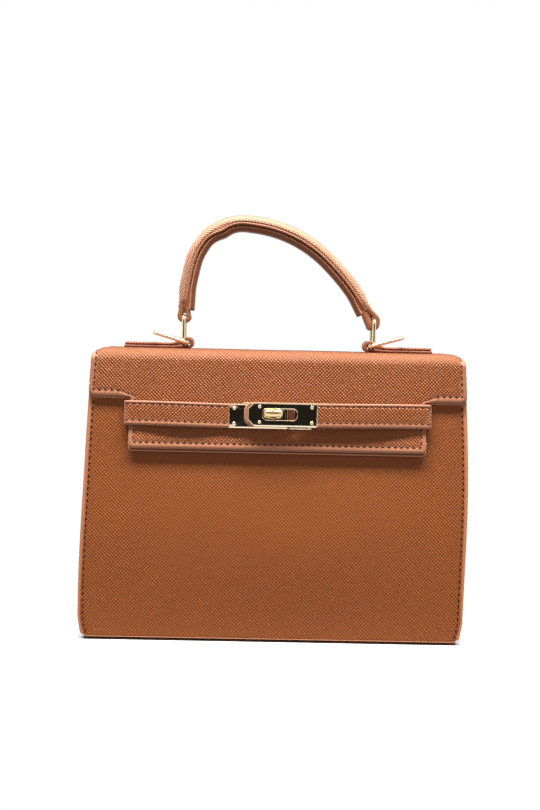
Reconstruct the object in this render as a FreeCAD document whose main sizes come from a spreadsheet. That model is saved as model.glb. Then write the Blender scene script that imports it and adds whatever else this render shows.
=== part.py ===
import FreeCAD, Part
import math
import os

import Sketcher

# Top handle bag: a boxy leather body, a flap with a tongue, two straps over a turn lock,
# and a padded handle that stands on two wire rings.
# Millimetres, +Z up, front towards -Y, origin on the floor under the middle of the base.

# Driving sizes
SIZES = {
    # body
    "bag_width": 250.0,
    "body_height": 189.0,
    "base_depth": 101.0,
    "mouth_depth": 62.0,
    "base_leather": 2.6,
    "base_lip": 0.5,
    "base_corner": 8.0,
    "base_board_thickness": 1.6,
    "panel_leather": 1.6,
    "panel_corner": 6.0,
    "board_thickness": 1.2,
    "board_margin": 4.0,
    "board_corner": 3.0,
    "gusset_leather": 1.4,
    "gusset_flange": 7.0,
    "pleat_at_base": 2.0,
    "pleat_at_mouth": 11.0,
    "lining_cloth": 0.8,
    # flap
    "flap_leather": 1.8,
    "flap_backing": 0.8,
    "flap_roll": 9.0,
    "flap_gap": 0.3,
    "fold_gap": 0.3,
    "shoulder_drop": 32.5,
    "shoulder_corner": 4.0,
    "notch_corner": 1.6,
    "tongue_drop": 66.0,
    "tongue_width": 194.5,
    "tongue_corner": 3.0,
    "anchor_drop": 24.0,
    # straps
    "strap_drop": 42.4,
    "strap_height": 16.0,
    "strap_leather": 1.5,
    "strap_span": 201.0,
    "strap_hinge_depth": 2.0,
    "strap_ramp": 62.0,
    "strap_tip": 2.4,
    # lock
    "plate_thickness": 0.7,
    "plate_height": 15.6,
    "plate_chamfer": 4.0,
    "plate_corner": 0.8,
    "layer_gap": 0.3,
    "left_plate_left": -32.2,
    "left_plate_right": 8.6,
    "right_plate_left": -19.7,
    "right_plate_right": 25.5,
    "flap_plate_left": -23.0,
    "flap_plate_right": 22.4,
    "flap_plate_height": 17.2,
    "slot_left": -10.2,
    "slot_right": 12.4,
    "left_slot_right": 4.4,
    "slot_height": 8.4,
    "window_margin": 1.4,
    "slot_sink": 0.7,
    "rivet_inset": 3.6,
    "rivet_rise": 5.0,
    "rivet_head": 1.15,
    "rivet_dome": 0.7,
    "rivet_shank": 0.6,
    "knob_place": -3.2,
    "knob_length": 12.0,
    "knob_radius": 3.2,
    "knob_rounding": 1.4,
    "knob_clearance": 0.5,
    "neck_radius": 2.2,
    "spindle_radius": 1.5,
    "spindle_clearance": 0.08,
    "collar_radius": 2.9,
    "collar_height": 3.2,
    "lock_base_length": 15.0,
    "lock_base_height": 8.0,
    "lock_base_thickness": 0.9,
    "lock_backing_length": 22.0,
    "lock_backing_height": 13.0,
    "lock_backing_thickness": 0.8,
    # handle fittings
    "chape_inner": 61.35,
    "chape_outer": 104.5,
    "chape_width": 13.0,
    "chape_thickness": 3.9,
    "chape_slit": 0.3,
    "chape_slope": 7.0,
    "wire_radius": 1.2,
    "wire_clearance": 0.3,
    "chape_wall": 2.4,
    "bar_spacing": 2.85,
    "ring_height": 18.1,
    "handle_ring_width": 19.6,
    "shoulder_ring_width": 25.0,
    "shoulder_ring_length": 23.4,
    "shoulder_ring_tilt": 16.0,
    "ring_corner": 3.2,
    # handle
    "handle_width": 14.0,
    "handle_crown": 6.0,
    "handle_shoulder": 1.2,
    "cover_leather": 1.4,
    "cover_lip": 1.0,
    "underlay_width": 12.4,
    "underlay_thickness": 3.6,
    "underlay_gap": 0.2,
    "core_gap": 0.2,
    "loop_width": 12.0,
    "loop_radius": 4.2,
    "loop_clearance": 0.7,
    "loop_neck": 6.4,
    "loop_gap": 0.2,
    "handle_start_offset": 0.16,
    "handle_start_rise": 5.2,
    "handle_heading": 83.46,
    "post_radius": 247.3,
    "post_turn": 7.3,
    "crook_radius": 35.25,
    "crook_turn": 78.5,
    "grip_radius": 84.4,
    "grip_turn": 40.4,
    "tail_radius": 157.7,
    "tail_turn": 16.3,
}

doc = FreeCAD.newDocument("top_handle_bag")
sheet = doc.addObject("Spreadsheet::Sheet", "sizes")
for row, (alias, value) in enumerate(SIZES.items(), start=1):
    sheet.set(f"A{row}", alias)
    sheet.set(f"B{row}", str(value))
    sheet.setAlias(f"B{row}", alias)
doc.recompute()

Vector = FreeCAD.Vector
Rotation = FreeCAD.Rotation
Placement = FreeCAD.Placement
X_AXIS = Vector(1, 0, 0)
Y_AXIS = Vector(0, 1, 0)
Z_AXIS = Vector(0, 0, 1)
SIDES = {"left": -1, "right": 1}
pieces = []


def size(alias):
    return float(sheet.get(alias))


def keep(piece, label):
    """Name a finished piece and put it on the list that is written out."""
    piece.Label = label
    pieces.append(piece)
    return piece


def shaped(label, shape):
    """A piece whose shape is made from swept, lofted or rolled leather in code."""
    piece = doc.addObject("Part::Feature", label)
    piece.Shape = shape
    return keep(piece, label)


def solid_of(shape):
    """The single solid of a boolean's result."""
    return shape.Solids[0] if len(shape.Solids) == 1 else shape


# Flat outlines

def rounded(corners):
    """Lines and arcs round a closed outline of (x, y, corner radius) points."""
    count = len(corners)
    points = [Vector(x, y, 0) for x, y, radius in corners]
    ends = []
    for i, (x, y, radius) in enumerate(corners):
        before = (points[i - 1] - points[i]).normalize()
        after = (points[(i + 1) % count] - points[i]).normalize()
        half_angle = before.getAngle(after) / 2
        setback = radius / math.tan(half_angle)
        inward = (before + after).normalize() if radius else Vector()
        middle = inward * (radius / math.sin(half_angle) - radius)
        ends.append((points[i] + before * setback, points[i] + middle, points[i] + after * setback))
    curves = []
    for i, (start, middle, end) in enumerate(ends):
        if corners[i][2]:
            curves.append(Part.Arc(start, middle, end))
        curves.append(Part.LineSegment(end, ends[(i + 1) % count][0]))
    return curves


def rectangle(left, right, low, high, corner):
    """A rectangle between two x values and two y values, its corners rounded alike."""
    return rounded([(left, low, corner), (right, low, corner), (right, high, corner), (left, high, corner)])


def obround(left, right, middle, height):
    """A slot outline with round ends between two x values."""
    radius = height / 2
    low_left = Vector(left + radius, middle - radius, 0)
    low_right = Vector(right - radius, middle - radius, 0)
    high_right = Vector(right - radius, middle + radius, 0)
    high_left = Vector(left + radius, middle + radius, 0)
    return [
        Part.LineSegment(low_left, low_right),
        Part.Arc(low_right, Vector(right, middle, 0), high_right),
        Part.LineSegment(high_right, high_left),
        Part.Arc(high_left, Vector(left, middle, 0), low_left),
    ]


def circle(x, y, radius):
    return [Part.Circle(Vector(x, y, 0), Z_AXIS, radius)]


def wire_of(curves):
    return Part.Wire([curve.toShape() for curve in curves])


# Bodies made from sketches

def sketch_on(body, role, name):
    plane = [item for item in body.Origin.OriginFeatures if item.Role == role][0]
    sketch = body.newObject("Sketcher::SketchObject", name)
    sketch.AttachmentSupport = [(plane, "")]
    sketch.MapMode = "FlatFace"
    return sketch


def pad_on(body, sketch, name, length):
    pad = body.newObject("PartDesign::Pad", name)
    pad.Profile = sketch
    pad.setExpression("Length", length)
    return pad


def outline_body(label, role, loops, length):
    """A flat piece padded from its outline and the outlines of its holes."""
    body = doc.addObject("PartDesign::Body", label)
    sketch = sketch_on(body, role, label + "_outline")
    for loop in loops:
        sketch.addGeometry(loop, False)
    pad_on(body, sketch, label + "_pad", length)
    return keep(body, label)


def sheet_body(label, role, width, height, length, corner, picks):
    """A rectangle centred on its sketch, padded, with the picked corner edges rounded."""
    body = doc.addObject("PartDesign::Body", label)
    sketch = sketch_on(body, role, label + "_outline")
    corners = [Vector(-1, -1, 0), Vector(1, -1, 0), Vector(1, 1, 0), Vector(-1, 1, 0)]
    for i in range(4):
        sketch.addGeometry(Part.LineSegment(corners[i], corners[(i + 1) % 4]), False)
    for i in range(4):
        sketch.addConstraint(Sketcher.Constraint("Coincident", i, 2, (i + 1) % 4, 1))
        sketch.addConstraint(Sketcher.Constraint("Vertical" if i % 2 else "Horizontal", i))
    sketch.addConstraint(Sketcher.Constraint("Symmetric", 0, 1, 1, 2, -1, 1))
    across = sketch.addConstraint(Sketcher.Constraint("DistanceX", 0, 1, 0, 2, 2.0))
    upward = sketch.addConstraint(Sketcher.Constraint("DistanceY", 1, 1, 1, 2, 2.0))
    sketch.setExpression(f"Constraints[{across}]", width)
    sketch.setExpression(f"Constraints[{upward}]", height)
    pad = pad_on(body, sketch, label + "_pad", length)
    if corner:
        doc.recompute()
        names = [f"Edge{i}" for i, edge in enumerate(pad.Shape.Edges, start=1) if picks(edge)]
        fillet = body.newObject("PartDesign::Fillet", label + "_corners")
        fillet.Base = (pad, names)
        fillet.setExpression("Radius", corner)
    return keep(body, label)


def runs_along(edge, axis):
    """True where a straight edge is parallel to an axis."""
    first, last = edge.Vertexes[0].Point, edge.Vertexes[-1].Point
    return (last - first).cross(axis).Length < 1e-6


# Planes of the tapered body: the front leans back and the back leans forward

half_width = size("bag_width") / 2
floor_top = size("base_leather")
mouth = size("body_height") - size("flap_roll")
foot = size("base_depth") / 2 - size("base_lip")
lean = math.atan((foot - size("mouth_depth") / 2) / (mouth - floor_top))
front_up = Vector(0, math.sin(lean), math.cos(lean))
front_out = Vector(0, -math.cos(lean), math.sin(lean))
panel_height = (mouth - floor_top) / math.cos(lean)
crest = (size("body_height") - floor_top) / math.cos(lean)
lock_up = crest - size("strap_drop")
slot_up = lock_up - size("slot_sink")


def front_at(x, up, out):
    """Placement on the front panel: along x, up the slope from its foot, out from its face."""
    place = Vector(x, -foot, floor_top) + front_up * up + front_out * out
    return Placement(place, Rotation(X_AXIS, -math.degrees(lean)))


def back_at(x, up, out):
    """The same on the back panel, turned round to face +Y."""
    return Placement(Vector(), Rotation(Z_AXIS, 180)) * front_at(-x, up, out)


def inner_depth(z, walls):
    """Half the depth inside the panels at a height, less the walls laid against them."""
    return foot - (z - floor_top) * math.tan(lean) - walls / math.cos(lean)


# Base, panels and boards

def make_base():
    base = sheet_body(
        "base_panel", "XY_Plane", "sizes.bag_width", "sizes.base_depth", "sizes.base_leather",
        "sizes.base_corner", lambda edge: runs_along(edge, Z_AXIS),
    )
    base.Placement = Placement()
    top = floor_top + size("base_board_thickness")
    reach = half_width - size("gusset_flange") - size("gusset_leather") - size("pleat_at_base")
    depth = inner_depth(top, size("panel_leather") + size("flap_gap"))
    across = reach - size("flap_gap")
    outline = rectangle(-across, across, -depth, depth, size("board_corner"))
    board = outline_body("base_board", "XY_Plane", [outline], "sizes.base_board_thickness")
    board.Placement = Placement(Vector(0, 0, floor_top), Rotation())


def backing_outline(x, up, margin):
    """The lock's backing plate, or the opening for it, round a point of the panel."""
    half = size("lock_backing_length") / 2 + margin
    tall = size("lock_backing_height") / 2 + margin
    return rectangle(x - half, x + half, up - tall, up + tall, size("plate_corner"))


def make_panels():
    start = size("panel_leather") * math.tan(lean)
    slope = f"{panel_height - start} mm"
    for label, place in (("front_panel", front_at), ("back_panel", back_at)):
        panel = sheet_body(
            label, "XZ_Plane", "sizes.bag_width", slope, "sizes.panel_leather",
            "sizes.panel_corner", lambda edge: runs_along(edge, Y_AXIS) and edge.Vertexes[0].Z < 0,
        )
        panel.Placement = place(0, (panel_height + start) / 2, -size("panel_leather"))
    low = size("base_board_thickness") + size("board_margin")
    tall = panel_height - low - size("board_margin")
    reach = half_width - size("gusset_flange") - size("gusset_leather") - size("flap_gap")
    for label, place in (("front_board", front_at), ("back_board", back_at)):
        loops = [rectangle(-reach, reach, 0, tall, size("board_corner"))]
        if label == "front_board":
            loops.append(backing_outline(size("knob_place"), lock_up - low, size("layer_gap")))
        board = outline_body(label, "XZ_Plane", loops, "sizes.board_thickness")
        board.Placement = place(0, low, -size("panel_leather") - size("board_thickness"))


# Pleated sides and the lining, lofted from the base to the mouth

def loft(low_points, low, high_points, high):
    wires = []
    for points, z in ((low_points, low), (high_points, high)):
        closed = [Vector(x, y, z) for x, y in points]
        wires.append(Part.makePolygon(closed + closed[:1]))
    return Part.makeLoft(wires, True, True)


def gusset_section(z, pleat, side):
    depth = inner_depth(z, size("panel_leather"))
    inside = depth - size("gusset_leather")
    outer = half_width - size("gusset_flange")
    inner = outer - size("gusset_leather")
    half = [(half_width, depth), (half_width, inside), (outer, inside), (outer - pleat, 0)]
    back = [(inner, depth), (inner - pleat, 0), (inner, -depth)]
    mirrored = [(x, -y) for x, y in half[2::-1]]
    section = half + mirrored + back[::-1]
    return [(side * x, y) for x, y in section]


def make_gussets():
    for name, side in SIDES.items():
        low = gusset_section(floor_top, size("pleat_at_base"), side)
        high = gusset_section(mouth, size("pleat_at_mouth"), side)
        shaped("gusset_" + name, loft(low, floor_top, high, mouth))


def lining_section(z, pleat, wall):
    laid = size("panel_leather") + size("board_thickness") + size("flap_gap") + wall
    depth = inner_depth(z, laid)
    reach = half_width - size("gusset_flange") - size("gusset_leather") - size("flap_gap") - wall
    corner = reach - pleat * (1 - depth / inner_depth(z, size("panel_leather")))
    right = [(corner, -depth), (reach - pleat, 0), (corner, depth)]
    return right + [(-x, -y) for x, y in right]


def make_lining():
    low = floor_top + size("base_board_thickness")
    wall = size("lining_cloth")
    over = mouth + wall
    pleats = size("pleat_at_base"), size("pleat_at_mouth")
    outer = loft(lining_section(low, pleats[0], 0), low, lining_section(mouth, pleats[1], 0), mouth)
    inner = loft(
        lining_section(low + wall, pleats[0], wall), low + wall,
        lining_section(over, pleats[1], wall), over,
    )
    shaped("lining", solid_of(outer.cut(inner)))


# Flap: one rolled section over the mouth, parted at its front fold and its rear fold

roll = size("flap_roll")
flap_stack = size("flap_gap") + size("flap_backing") + size("flap_leather")
mouth_half = size("mouth_depth") / 2
back_out = Vector(0, math.cos(lean), math.sin(lean))
back_up = Vector(0, -math.sin(lean), math.cos(lean))
front_centre = Vector(0, -mouth_half + (roll - flap_stack) / math.cos(lean), mouth)
rear_centre = Vector(0, mouth_half - (roll - size("flap_leather")) / math.cos(lean), mouth)
front_split = (Z_AXIS + front_out).normalize()
rear_split = (Z_AXIS + back_out).normalize()
front_fold = front_centre + front_split * roll
rear_fold = rear_centre + rear_split * roll
through = 2 * roll


def beside(direction, towards):
    """A split direction drawn back by half the fold gap."""
    return (direction + towards * (size("fold_gap") / (2 * roll))).normalize()


def bend(centre, radius, start, end):
    middle = (start + end).normalize()
    return Part.Arc(centre + start * radius, centre + middle * radius, centre + end * radius)


def strip(outer, inner):
    """A leather strip between two runs of curves, along the whole width of the bag."""
    joined = outer + [Part.LineSegment(outer[-1].EndPoint, inner[-1].EndPoint)]
    joined += inner + [Part.LineSegment(outer[0].StartPoint, inner[0].StartPoint)]
    edges = Part.__sortEdges__([curve.toShape() for curve in joined])
    face = Part.Face(Part.Wire(edges))
    face.translate(Vector(-half_width, 0, 0))
    return face.extrude(Vector(2 * half_width, 0, 0))


def top_strip(near, far, whole):
    """The flat of the flap and its half rolls, between two depths under the outer face."""
    front = beside(front_split, Z_AXIS)
    rear = beside(rear_split, Z_AXIS)
    runs = []
    for depth in (near, far):
        radius = roll - depth
        curves = [bend(front_centre, radius, front, Z_AXIS)]
        curves.append(Part.LineSegment(front_centre + Z_AXIS * radius, rear_centre + Z_AXIS * radius))
        if whole:
            curves.append(bend(rear_centre, radius, Z_AXIS, rear))
        runs.append(curves)
    return strip(*runs)


def drop_strip(centre, out, up, split, length, near, far):
    """The leather below a fold: a half roll, then straight down the panel."""
    start = beside(split, out)
    runs = []
    for depth in (near, far):
        radius = roll - depth
        below = centre + out * radius
        runs.append([bend(centre, radius, start, out), Part.LineSegment(below, below - up * length)])
    return strip(*runs)


def square_to_front(face):
    """A flat face drawn on the front panel, as a prism through every layer there."""
    prism = face.extrude(Z_AXIS * 2 * through)
    prism.Placement = front_at(0, 0, -through) * Placement(Vector(), Rotation(X_AXIS, 90))
    return prism


def flap_outline():
    """Shoulders and tongue of the flap as a prism."""
    shoulder = crest - size("shoulder_drop")
    tongue = crest - size("tongue_drop")
    half_tongue = size("tongue_width") / 2
    above = crest + roll
    right = [
        (half_tongue, tongue, size("tongue_corner")), (half_tongue, shoulder, size("notch_corner")),
        (half_width, shoulder, size("shoulder_corner")), (half_width, above, 0),
    ]
    left = [(-x, y, radius) for x, y, radius in right[::-1]]
    return square_to_front(Part.Face(wire_of(rounded(right + left))))


def lock_prism(left, right, height):
    """A round-ended opening through the layers at the lock."""
    return square_to_front(Part.Face(wire_of(obround(left, right, slot_up, height))))


def window(margin):
    wider = size("slot_height") + 2 * margin
    return lock_prism(size("slot_left") - margin, size("slot_right") + margin, wider)


def make_flap():
    leather = size("flap_leather")
    backed = leather + size("flap_backing")
    shaped("flap_top", solid_of(top_strip(0, leather, True)))
    shaped("flap_top_backing", solid_of(top_strip(leather, backed, False)))
    length = size("tongue_drop") + roll
    for label, near, far in (("flap_front", 0, leather), ("flap_front_backing", leather, backed)):
        drop = drop_strip(front_centre, front_out, front_up, front_split, length, near, far)
        drop = drop.common(flap_outline()).cut(window(size("window_margin")))
        shaped(label, solid_of(drop))
    anchor = drop_strip(rear_centre, back_out, back_up, rear_split, size("anchor_drop"), 0, leather)
    shaped("flap_anchor", solid_of(anchor))


# Lock: base and knob on the front panel, three slotted plates over the knob

flap_face = flap_stack
plate = size("plate_thickness")
layer = size("layer_gap")
left_strap_back = flap_face + plate + layer
left_strap_face = left_strap_back + size("strap_leather")
right_strap_back = left_strap_face + plate + layer
right_strap_face = right_strap_back + size("strap_leather")
knob_back = right_strap_face + plate + size("knob_clearance")


def rivet_points(places):
    """Rivet centres in pairs, one above and one below the middle of a plate."""
    rise = size("rivet_rise")
    return [(x, lock_up + up) for x in places for up in (-rise, rise)]


def rivets(label, points, face, shank):
    """Domed rivets: heads on the plate's face, shanks back through the plate and the leather."""
    head, dome = size("rivet_head"), size("rivet_dome")
    ball = (head * head + dome * dome) / (2 * dome)
    rim = math.degrees(math.asin((ball - dome) / ball))
    cap = Part.makeSphere(ball, Vector(0, 0, dome - ball), Z_AXIS, rim, 90)
    stem = Part.makeCylinder(size("rivet_shank"), shank, Z_AXIS * -shank)
    rivet = solid_of(cap.fuse(stem).removeSplitter())
    group = []
    for x, up in points:
        copy = rivet.copy()
        copy.Placement = front_at(x, up, face) * Placement(Vector(), Rotation(X_AXIS, 90))
        group.append(copy)
    shaped(label, Part.makeCompound(group))


def shank_holes(points):
    """Round cutters for rivet shanks, through everything in front of the panel."""
    return [square_to_front(Part.Face(wire_of(circle(x, up, size("rivet_shank"))))) for x, up in points]


left_rivets = rivet_points([size("left_plate_left") + size("rivet_inset")])
right_rivets = rivet_points([
    size("right_plate_left") + size("plate_chamfer") + size("rivet_inset"),
    size("right_plate_right") - size("rivet_inset"),
])


def lock_plate(label, left, right, height, chamfer, slot, points, back, middle):
    """A flat plate about a middle height, with a slot for the knob and holes for its rivets."""
    half = height / 2
    corner = size("plate_corner")
    outline = [(right, -half, corner), (right, half, corner)]
    if chamfer:
        outline += [(left + chamfer, half, 0), (left, half - chamfer, 0)]
        outline += [(left, chamfer - half, 0), (left + chamfer, -half, 0)]
    else:
        outline += [(left, half, corner), (left, -half, corner)]
    loops = [rounded(outline), slot]
    loops += [circle(x, up - middle, size("rivet_shank")) for x, up in points]
    piece = outline_body(label, "XZ_Plane", loops, "sizes.plate_thickness")
    piece.Placement = front_at(0, middle, back)


def make_plates():
    sink = -size("slot_sink")
    tall = size("slot_height")
    height = size("plate_height")
    margin = size("window_margin")
    wide_slot = obround(size("slot_left") - margin, size("slot_right") + margin, 0, tall + 2 * margin)
    lock_plate(
        "flap_plate", size("flap_plate_left"), size("flap_plate_right"), size("flap_plate_height"), 0,
        wide_slot, [], flap_face, slot_up,
    )
    left_slot = obround(size("slot_left"), size("left_slot_right"), sink, tall + margin)
    lock_plate(
        "strap_left_plate", size("left_plate_left"), size("left_plate_right"), height, 0,
        left_slot, left_rivets, left_strap_face, lock_up,
    )
    right_slot = obround(size("slot_left"), size("slot_right"), sink, tall)
    lock_plate(
        "strap_right_plate", size("right_plate_left"), size("right_plate_right"), height,
        size("plate_chamfer"), right_slot, right_rivets, right_strap_face, lock_up,
    )
    shank = plate + size("strap_leather")
    rivets("strap_left_rivets", left_rivets, left_strap_face + plate, shank)
    rivets("strap_right_rivets", right_rivets, right_strap_face + plate, shank)


def make_lock_base():
    margin = size("spindle_clearance")
    bore = size("spindle_radius") + margin
    half = size("lock_base_length") / 2
    body = outline_body(
        "lock_base", "XZ_Plane",
        [obround(-half, half, 0, size("lock_base_height")), circle(0, 0, bore)],
        "sizes.lock_base_thickness",
    )
    collar = sketch_on(body, "XZ_Plane", "lock_collar_outline")
    collar.addGeometry(circle(0, 0, size("collar_radius")) + circle(0, 0, bore), False)
    pad_on(body, collar, "lock_collar", "sizes.collar_height")
    body.Placement = front_at(size("knob_place"), lock_up, 0)


def make_lock_backing():
    """Plate behind the front leather, in an opening of its board, that the lock base is clenched to."""
    outline = backing_outline(0, 0, 0)
    piece = outline_body("lock_backing", "XZ_Plane", [outline], "sizes.lock_backing_thickness")
    behind = size("panel_leather") + size("lock_backing_thickness")
    piece.Placement = front_at(size("knob_place"), lock_up, -behind)


def make_knob():
    """Round barrel on a neck and a spindle that turns in the collar of the lock base."""
    out = Rotation(X_AXIS, 90)
    start = size("layer_gap")
    step = size("collar_height") + start
    middle = knob_back + size("knob_radius")
    spindle = doc.addObject("Part::Cylinder", "knob_spindle")
    spindle.setExpression("Radius", "sizes.spindle_radius")
    spindle.Height = step - start
    spindle.Placement = Placement(Vector(0, -start, 0), out)
    neck = doc.addObject("Part::Cylinder", "knob_neck")
    neck.setExpression("Radius", "sizes.neck_radius")
    neck.Height = middle - step
    neck.Placement = Placement(Vector(0, -step, 0), out)
    barrel = doc.addObject("Part::Cylinder", "knob_barrel")
    barrel.setExpression("Radius", "sizes.knob_radius")
    barrel.setExpression("Height", "sizes.knob_length")
    barrel.Placement = Placement(Vector(-size("knob_length") / 2, -middle, 0), Rotation(Y_AXIS, 90))
    doc.recompute()
    rounding = size("knob_rounding")
    rims = [
        i for i, edge in enumerate(barrel.Shape.Edges, start=1) if edge.Curve.TypeId == "Part::GeomCircle"
    ]
    toggle = doc.addObject("Part::Fillet", "knob_toggle")
    toggle.Base = barrel
    toggle.Edges = [(i, rounding, rounding) for i in rims]
    knob = doc.addObject("Part::MultiFuse", "turn_knob")
    knob.Shapes = [spindle, neck, toggle]
    knob.Placement = front_at(size("knob_place"), lock_up, 0)
    keep(knob, "turn_knob")


# Straps: each folds round one edge of the tongue and runs to the lock

def strap_shape(side, tip, back, slot, points):
    """A strap as a bent band: knuckle at the fold, a ramp, then flat under its plate."""
    fold = size("strap_span") / 2
    leather = size("strap_leather")
    heel = size("strap_hinge_depth") - leather
    near = flap_face + layer
    hinge = fold - leather
    flat = hinge - size("strap_ramp")
    face_out = near + leather

    def at(x, depth):
        return Vector(side * x, -depth, lock_up - size("strap_height") / 2)

    band = [
        at(hinge, heel), at(hinge, near), at(flat, back), at(side * tip, back),
        at(side * tip, back + leather), at(flat, back + leather), at(hinge, face_out),
    ]
    curves = [Part.LineSegment(start, end) for start, end in zip(band, band[1:])]
    curves.append(Part.Arc(band[-1], at(fold, (face_out + heel) / 2), band[0]))
    prism = Part.Face(wire_of(curves)).extrude(Z_AXIS * size("strap_height"))
    prism.Placement = front_at(0, 0, 0)
    return solid_of(prism.cut([slot] + shank_holes(points)))


def make_straps():
    margin = size("window_margin")
    tall = size("slot_height")
    tip = size("strap_tip")
    start = size("slot_left") - margin
    left_slot = lock_prism(start, size("left_slot_right") + margin, tall + 2 * margin)
    right_slot = lock_prism(start, size("slot_right") + margin, tall + margin)
    left_tip = size("left_plate_right") + tip
    right_tip = size("right_plate_left") - tip
    shaped("strap_left", strap_shape(-1, left_tip, left_strap_back, left_slot, left_rivets))
    shaped("strap_right", strap_shape(1, right_tip, right_strap_back, right_slot, right_rivets))


# Handle fittings on the flap: folded chapes that hold two wire rings each

deck = size("body_height")
bar_hole = size("wire_radius") + size("wire_clearance")
bar_rise = bar_hole + size("chape_wall")
shoulder_bar = size("chape_inner")
handle_bar = shoulder_bar + size("bar_spacing")
ring_top = deck + bar_rise + size("ring_height")


def make_chapes():
    inner, second, outer = shoulder_bar, handle_bar, size("chape_outer")
    roof = bar_rise + bar_hole + size("chape_wall")
    thick = size("chape_thickness")
    middle = (thick - size("chape_slit")) / 2
    foot_of_slope = second + size("chape_slope")
    for name, side in SIDES.items():

        def at(x, z):
            return Vector(side * x, z, 0)

        run = [
            at(inner, roof), at(second, roof), at(foot_of_slope, thick), at(outer, thick),
            at(outer, middle + size("chape_slit")), at(foot_of_slope, middle + size("chape_slit")),
            at(foot_of_slope, middle), at(outer, middle), at(outer, 0), at(inner, 0),
        ]
        curves = [Part.LineSegment(start, end) for start, end in zip(run, run[1:])]
        curves.append(Part.Arc(run[-1], at(inner - roof / 2, roof / 2), run[0]))
        reach = sorted((side * (inner - bar_hole), side * (second + bar_hole)))
        tunnel = obround(reach[0], reach[1], bar_rise, 2 * bar_hole)
        chape = outline_body("chape_" + name, "XZ_Plane", [curves, tunnel], "sizes.chape_width")
        chape.Placement = Placement(Vector(0, size("chape_width") / 2, deck), Rotation())


def wire_ring(width, length):
    """A closed wire ring that stands up from a bar along Y, bar in the middle of its foot."""
    half = width / 2
    outline = wire_of(rectangle(-half, half, 0, length, size("ring_corner")))
    outline.Placement = Placement(Vector(), Rotation(Z_AXIS, 90) * Rotation(X_AXIS, 90))
    start = outline.Edges[1].valueAt(outline.Edges[1].FirstParameter)
    along = outline.Edges[1].tangentAt(outline.Edges[1].FirstParameter)
    section = Part.Wire(Part.Circle(start, along, size("wire_radius")).toShape())
    path = Part.Wire(outline.Edges[1:] + outline.Edges[:1])
    return path.makePipeShell([section], True, False)


def make_rings():
    for name, side in SIDES.items():
        ring = wire_ring(size("handle_ring_width"), size("ring_height"))
        upright = shaped("handle_ring_" + name, ring)
        upright.Placement = Placement(Vector(side * handle_bar, 0, deck + bar_rise), Rotation())
        ring = wire_ring(size("shoulder_ring_width"), size("shoulder_ring_length"))
        lying = shaped("shoulder_ring_" + name, ring)
        turn = side * (90 - size("shoulder_ring_tilt"))
        bar = Vector(side * shoulder_bar, 0, deck + bar_rise)
        lying.Placement = Placement(bar, Rotation(Y_AXIS, turn))


# Handle: a crook of tangent arcs from the left ring to the right ring

def heading_vector(degrees):
    return Vector(math.cos(math.radians(degrees)), 0, math.sin(math.radians(degrees)))


def handle_path():
    """The middle line of the handle, and the heading at each end."""
    heading = size("handle_heading")
    lift = ring_top + size("handle_start_rise")
    place = Vector(-handle_bar - size("handle_start_offset"), 0, lift)
    arcs = []
    first = heading
    for name in ("post", "crook", "grip", "tail"):
        radius, turn = size(name + "_radius"), size(name + "_turn")
        centre = place + heading_vector(heading - 90) * radius
        points = [centre + heading_vector(heading + 90 - turn * share) * radius for share in (0, 0.5, 1)]
        arcs.append(Part.Arc(*points).toShape())
        place = points[-1]
        heading -= turn
    return Part.Wire(arcs), first, heading


spine, start_heading, end_heading = handle_path()
spine_start = spine.Edges[0].valueAt(spine.Edges[0].FirstParameter)
spine_end = spine.Edges[-1].valueAt(spine.Edges[-1].LastParameter)


def swept(section):
    """A section wire drawn in (across, outward) and carried along the handle."""
    outward, along = heading_vector(start_heading + 90), heading_vector(start_heading)
    section.Placement = Placement(spine_start, Rotation(Y_AXIS, outward, along, "XYZ"))
    return spine.makePipeShell([section], True, False)


def arched(half, low, shoulder, crown):
    """The outline of a crowned section, from its left foot over the top to its right foot."""
    return [
        Part.LineSegment(Vector(-half, low, 0), Vector(-half, shoulder, 0)),
        Part.Arc(Vector(-half, shoulder, 0), Vector(0, crown, 0), Vector(half, shoulder, 0)),
        Part.LineSegment(Vector(half, shoulder, 0), Vector(half, low, 0)),
    ]


def make_handle():
    half, wall, gap = size("handle_width") / 2, size("cover_leather"), size("core_gap")
    lip, shoulder, crown = -size("cover_lip"), size("handle_shoulder"), size("handle_crown")
    outside = arched(half, lip, shoulder, crown)
    inside = arched(half - wall, lip, shoulder, crown - wall)
    feet = [
        Part.LineSegment(Vector(-half, lip, 0), Vector(wall - half, lip, 0)),
        Part.LineSegment(Vector(half, lip, 0), Vector(half - wall, lip, 0)),
    ]
    edges = Part.__sortEdges__([curve.toShape() for curve in outside + inside + feet])
    shaped("handle_cover", swept(Part.Wire(edges)))
    core = arched(half - wall - gap, lip, shoulder, crown - wall - gap)
    core.append(Part.LineSegment(Vector(half - wall - gap, lip, 0), Vector(gap + wall - half, lip, 0)))
    shaped("handle_core", swept(wire_of(core)))
    strip_half, strip_top = size("underlay_width") / 2, lip - size("underlay_gap")
    strip_low = strip_top - size("underlay_thickness")
    edge = size("underlay_thickness") / 3
    underlay = rounded([
        (-strip_half, strip_low, edge), (strip_half, strip_low, edge), (strip_half, strip_top, 0),
        (-strip_half, strip_top, 0),
    ])
    shaped("handle_underlay", swept(wire_of(underlay)))


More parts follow.
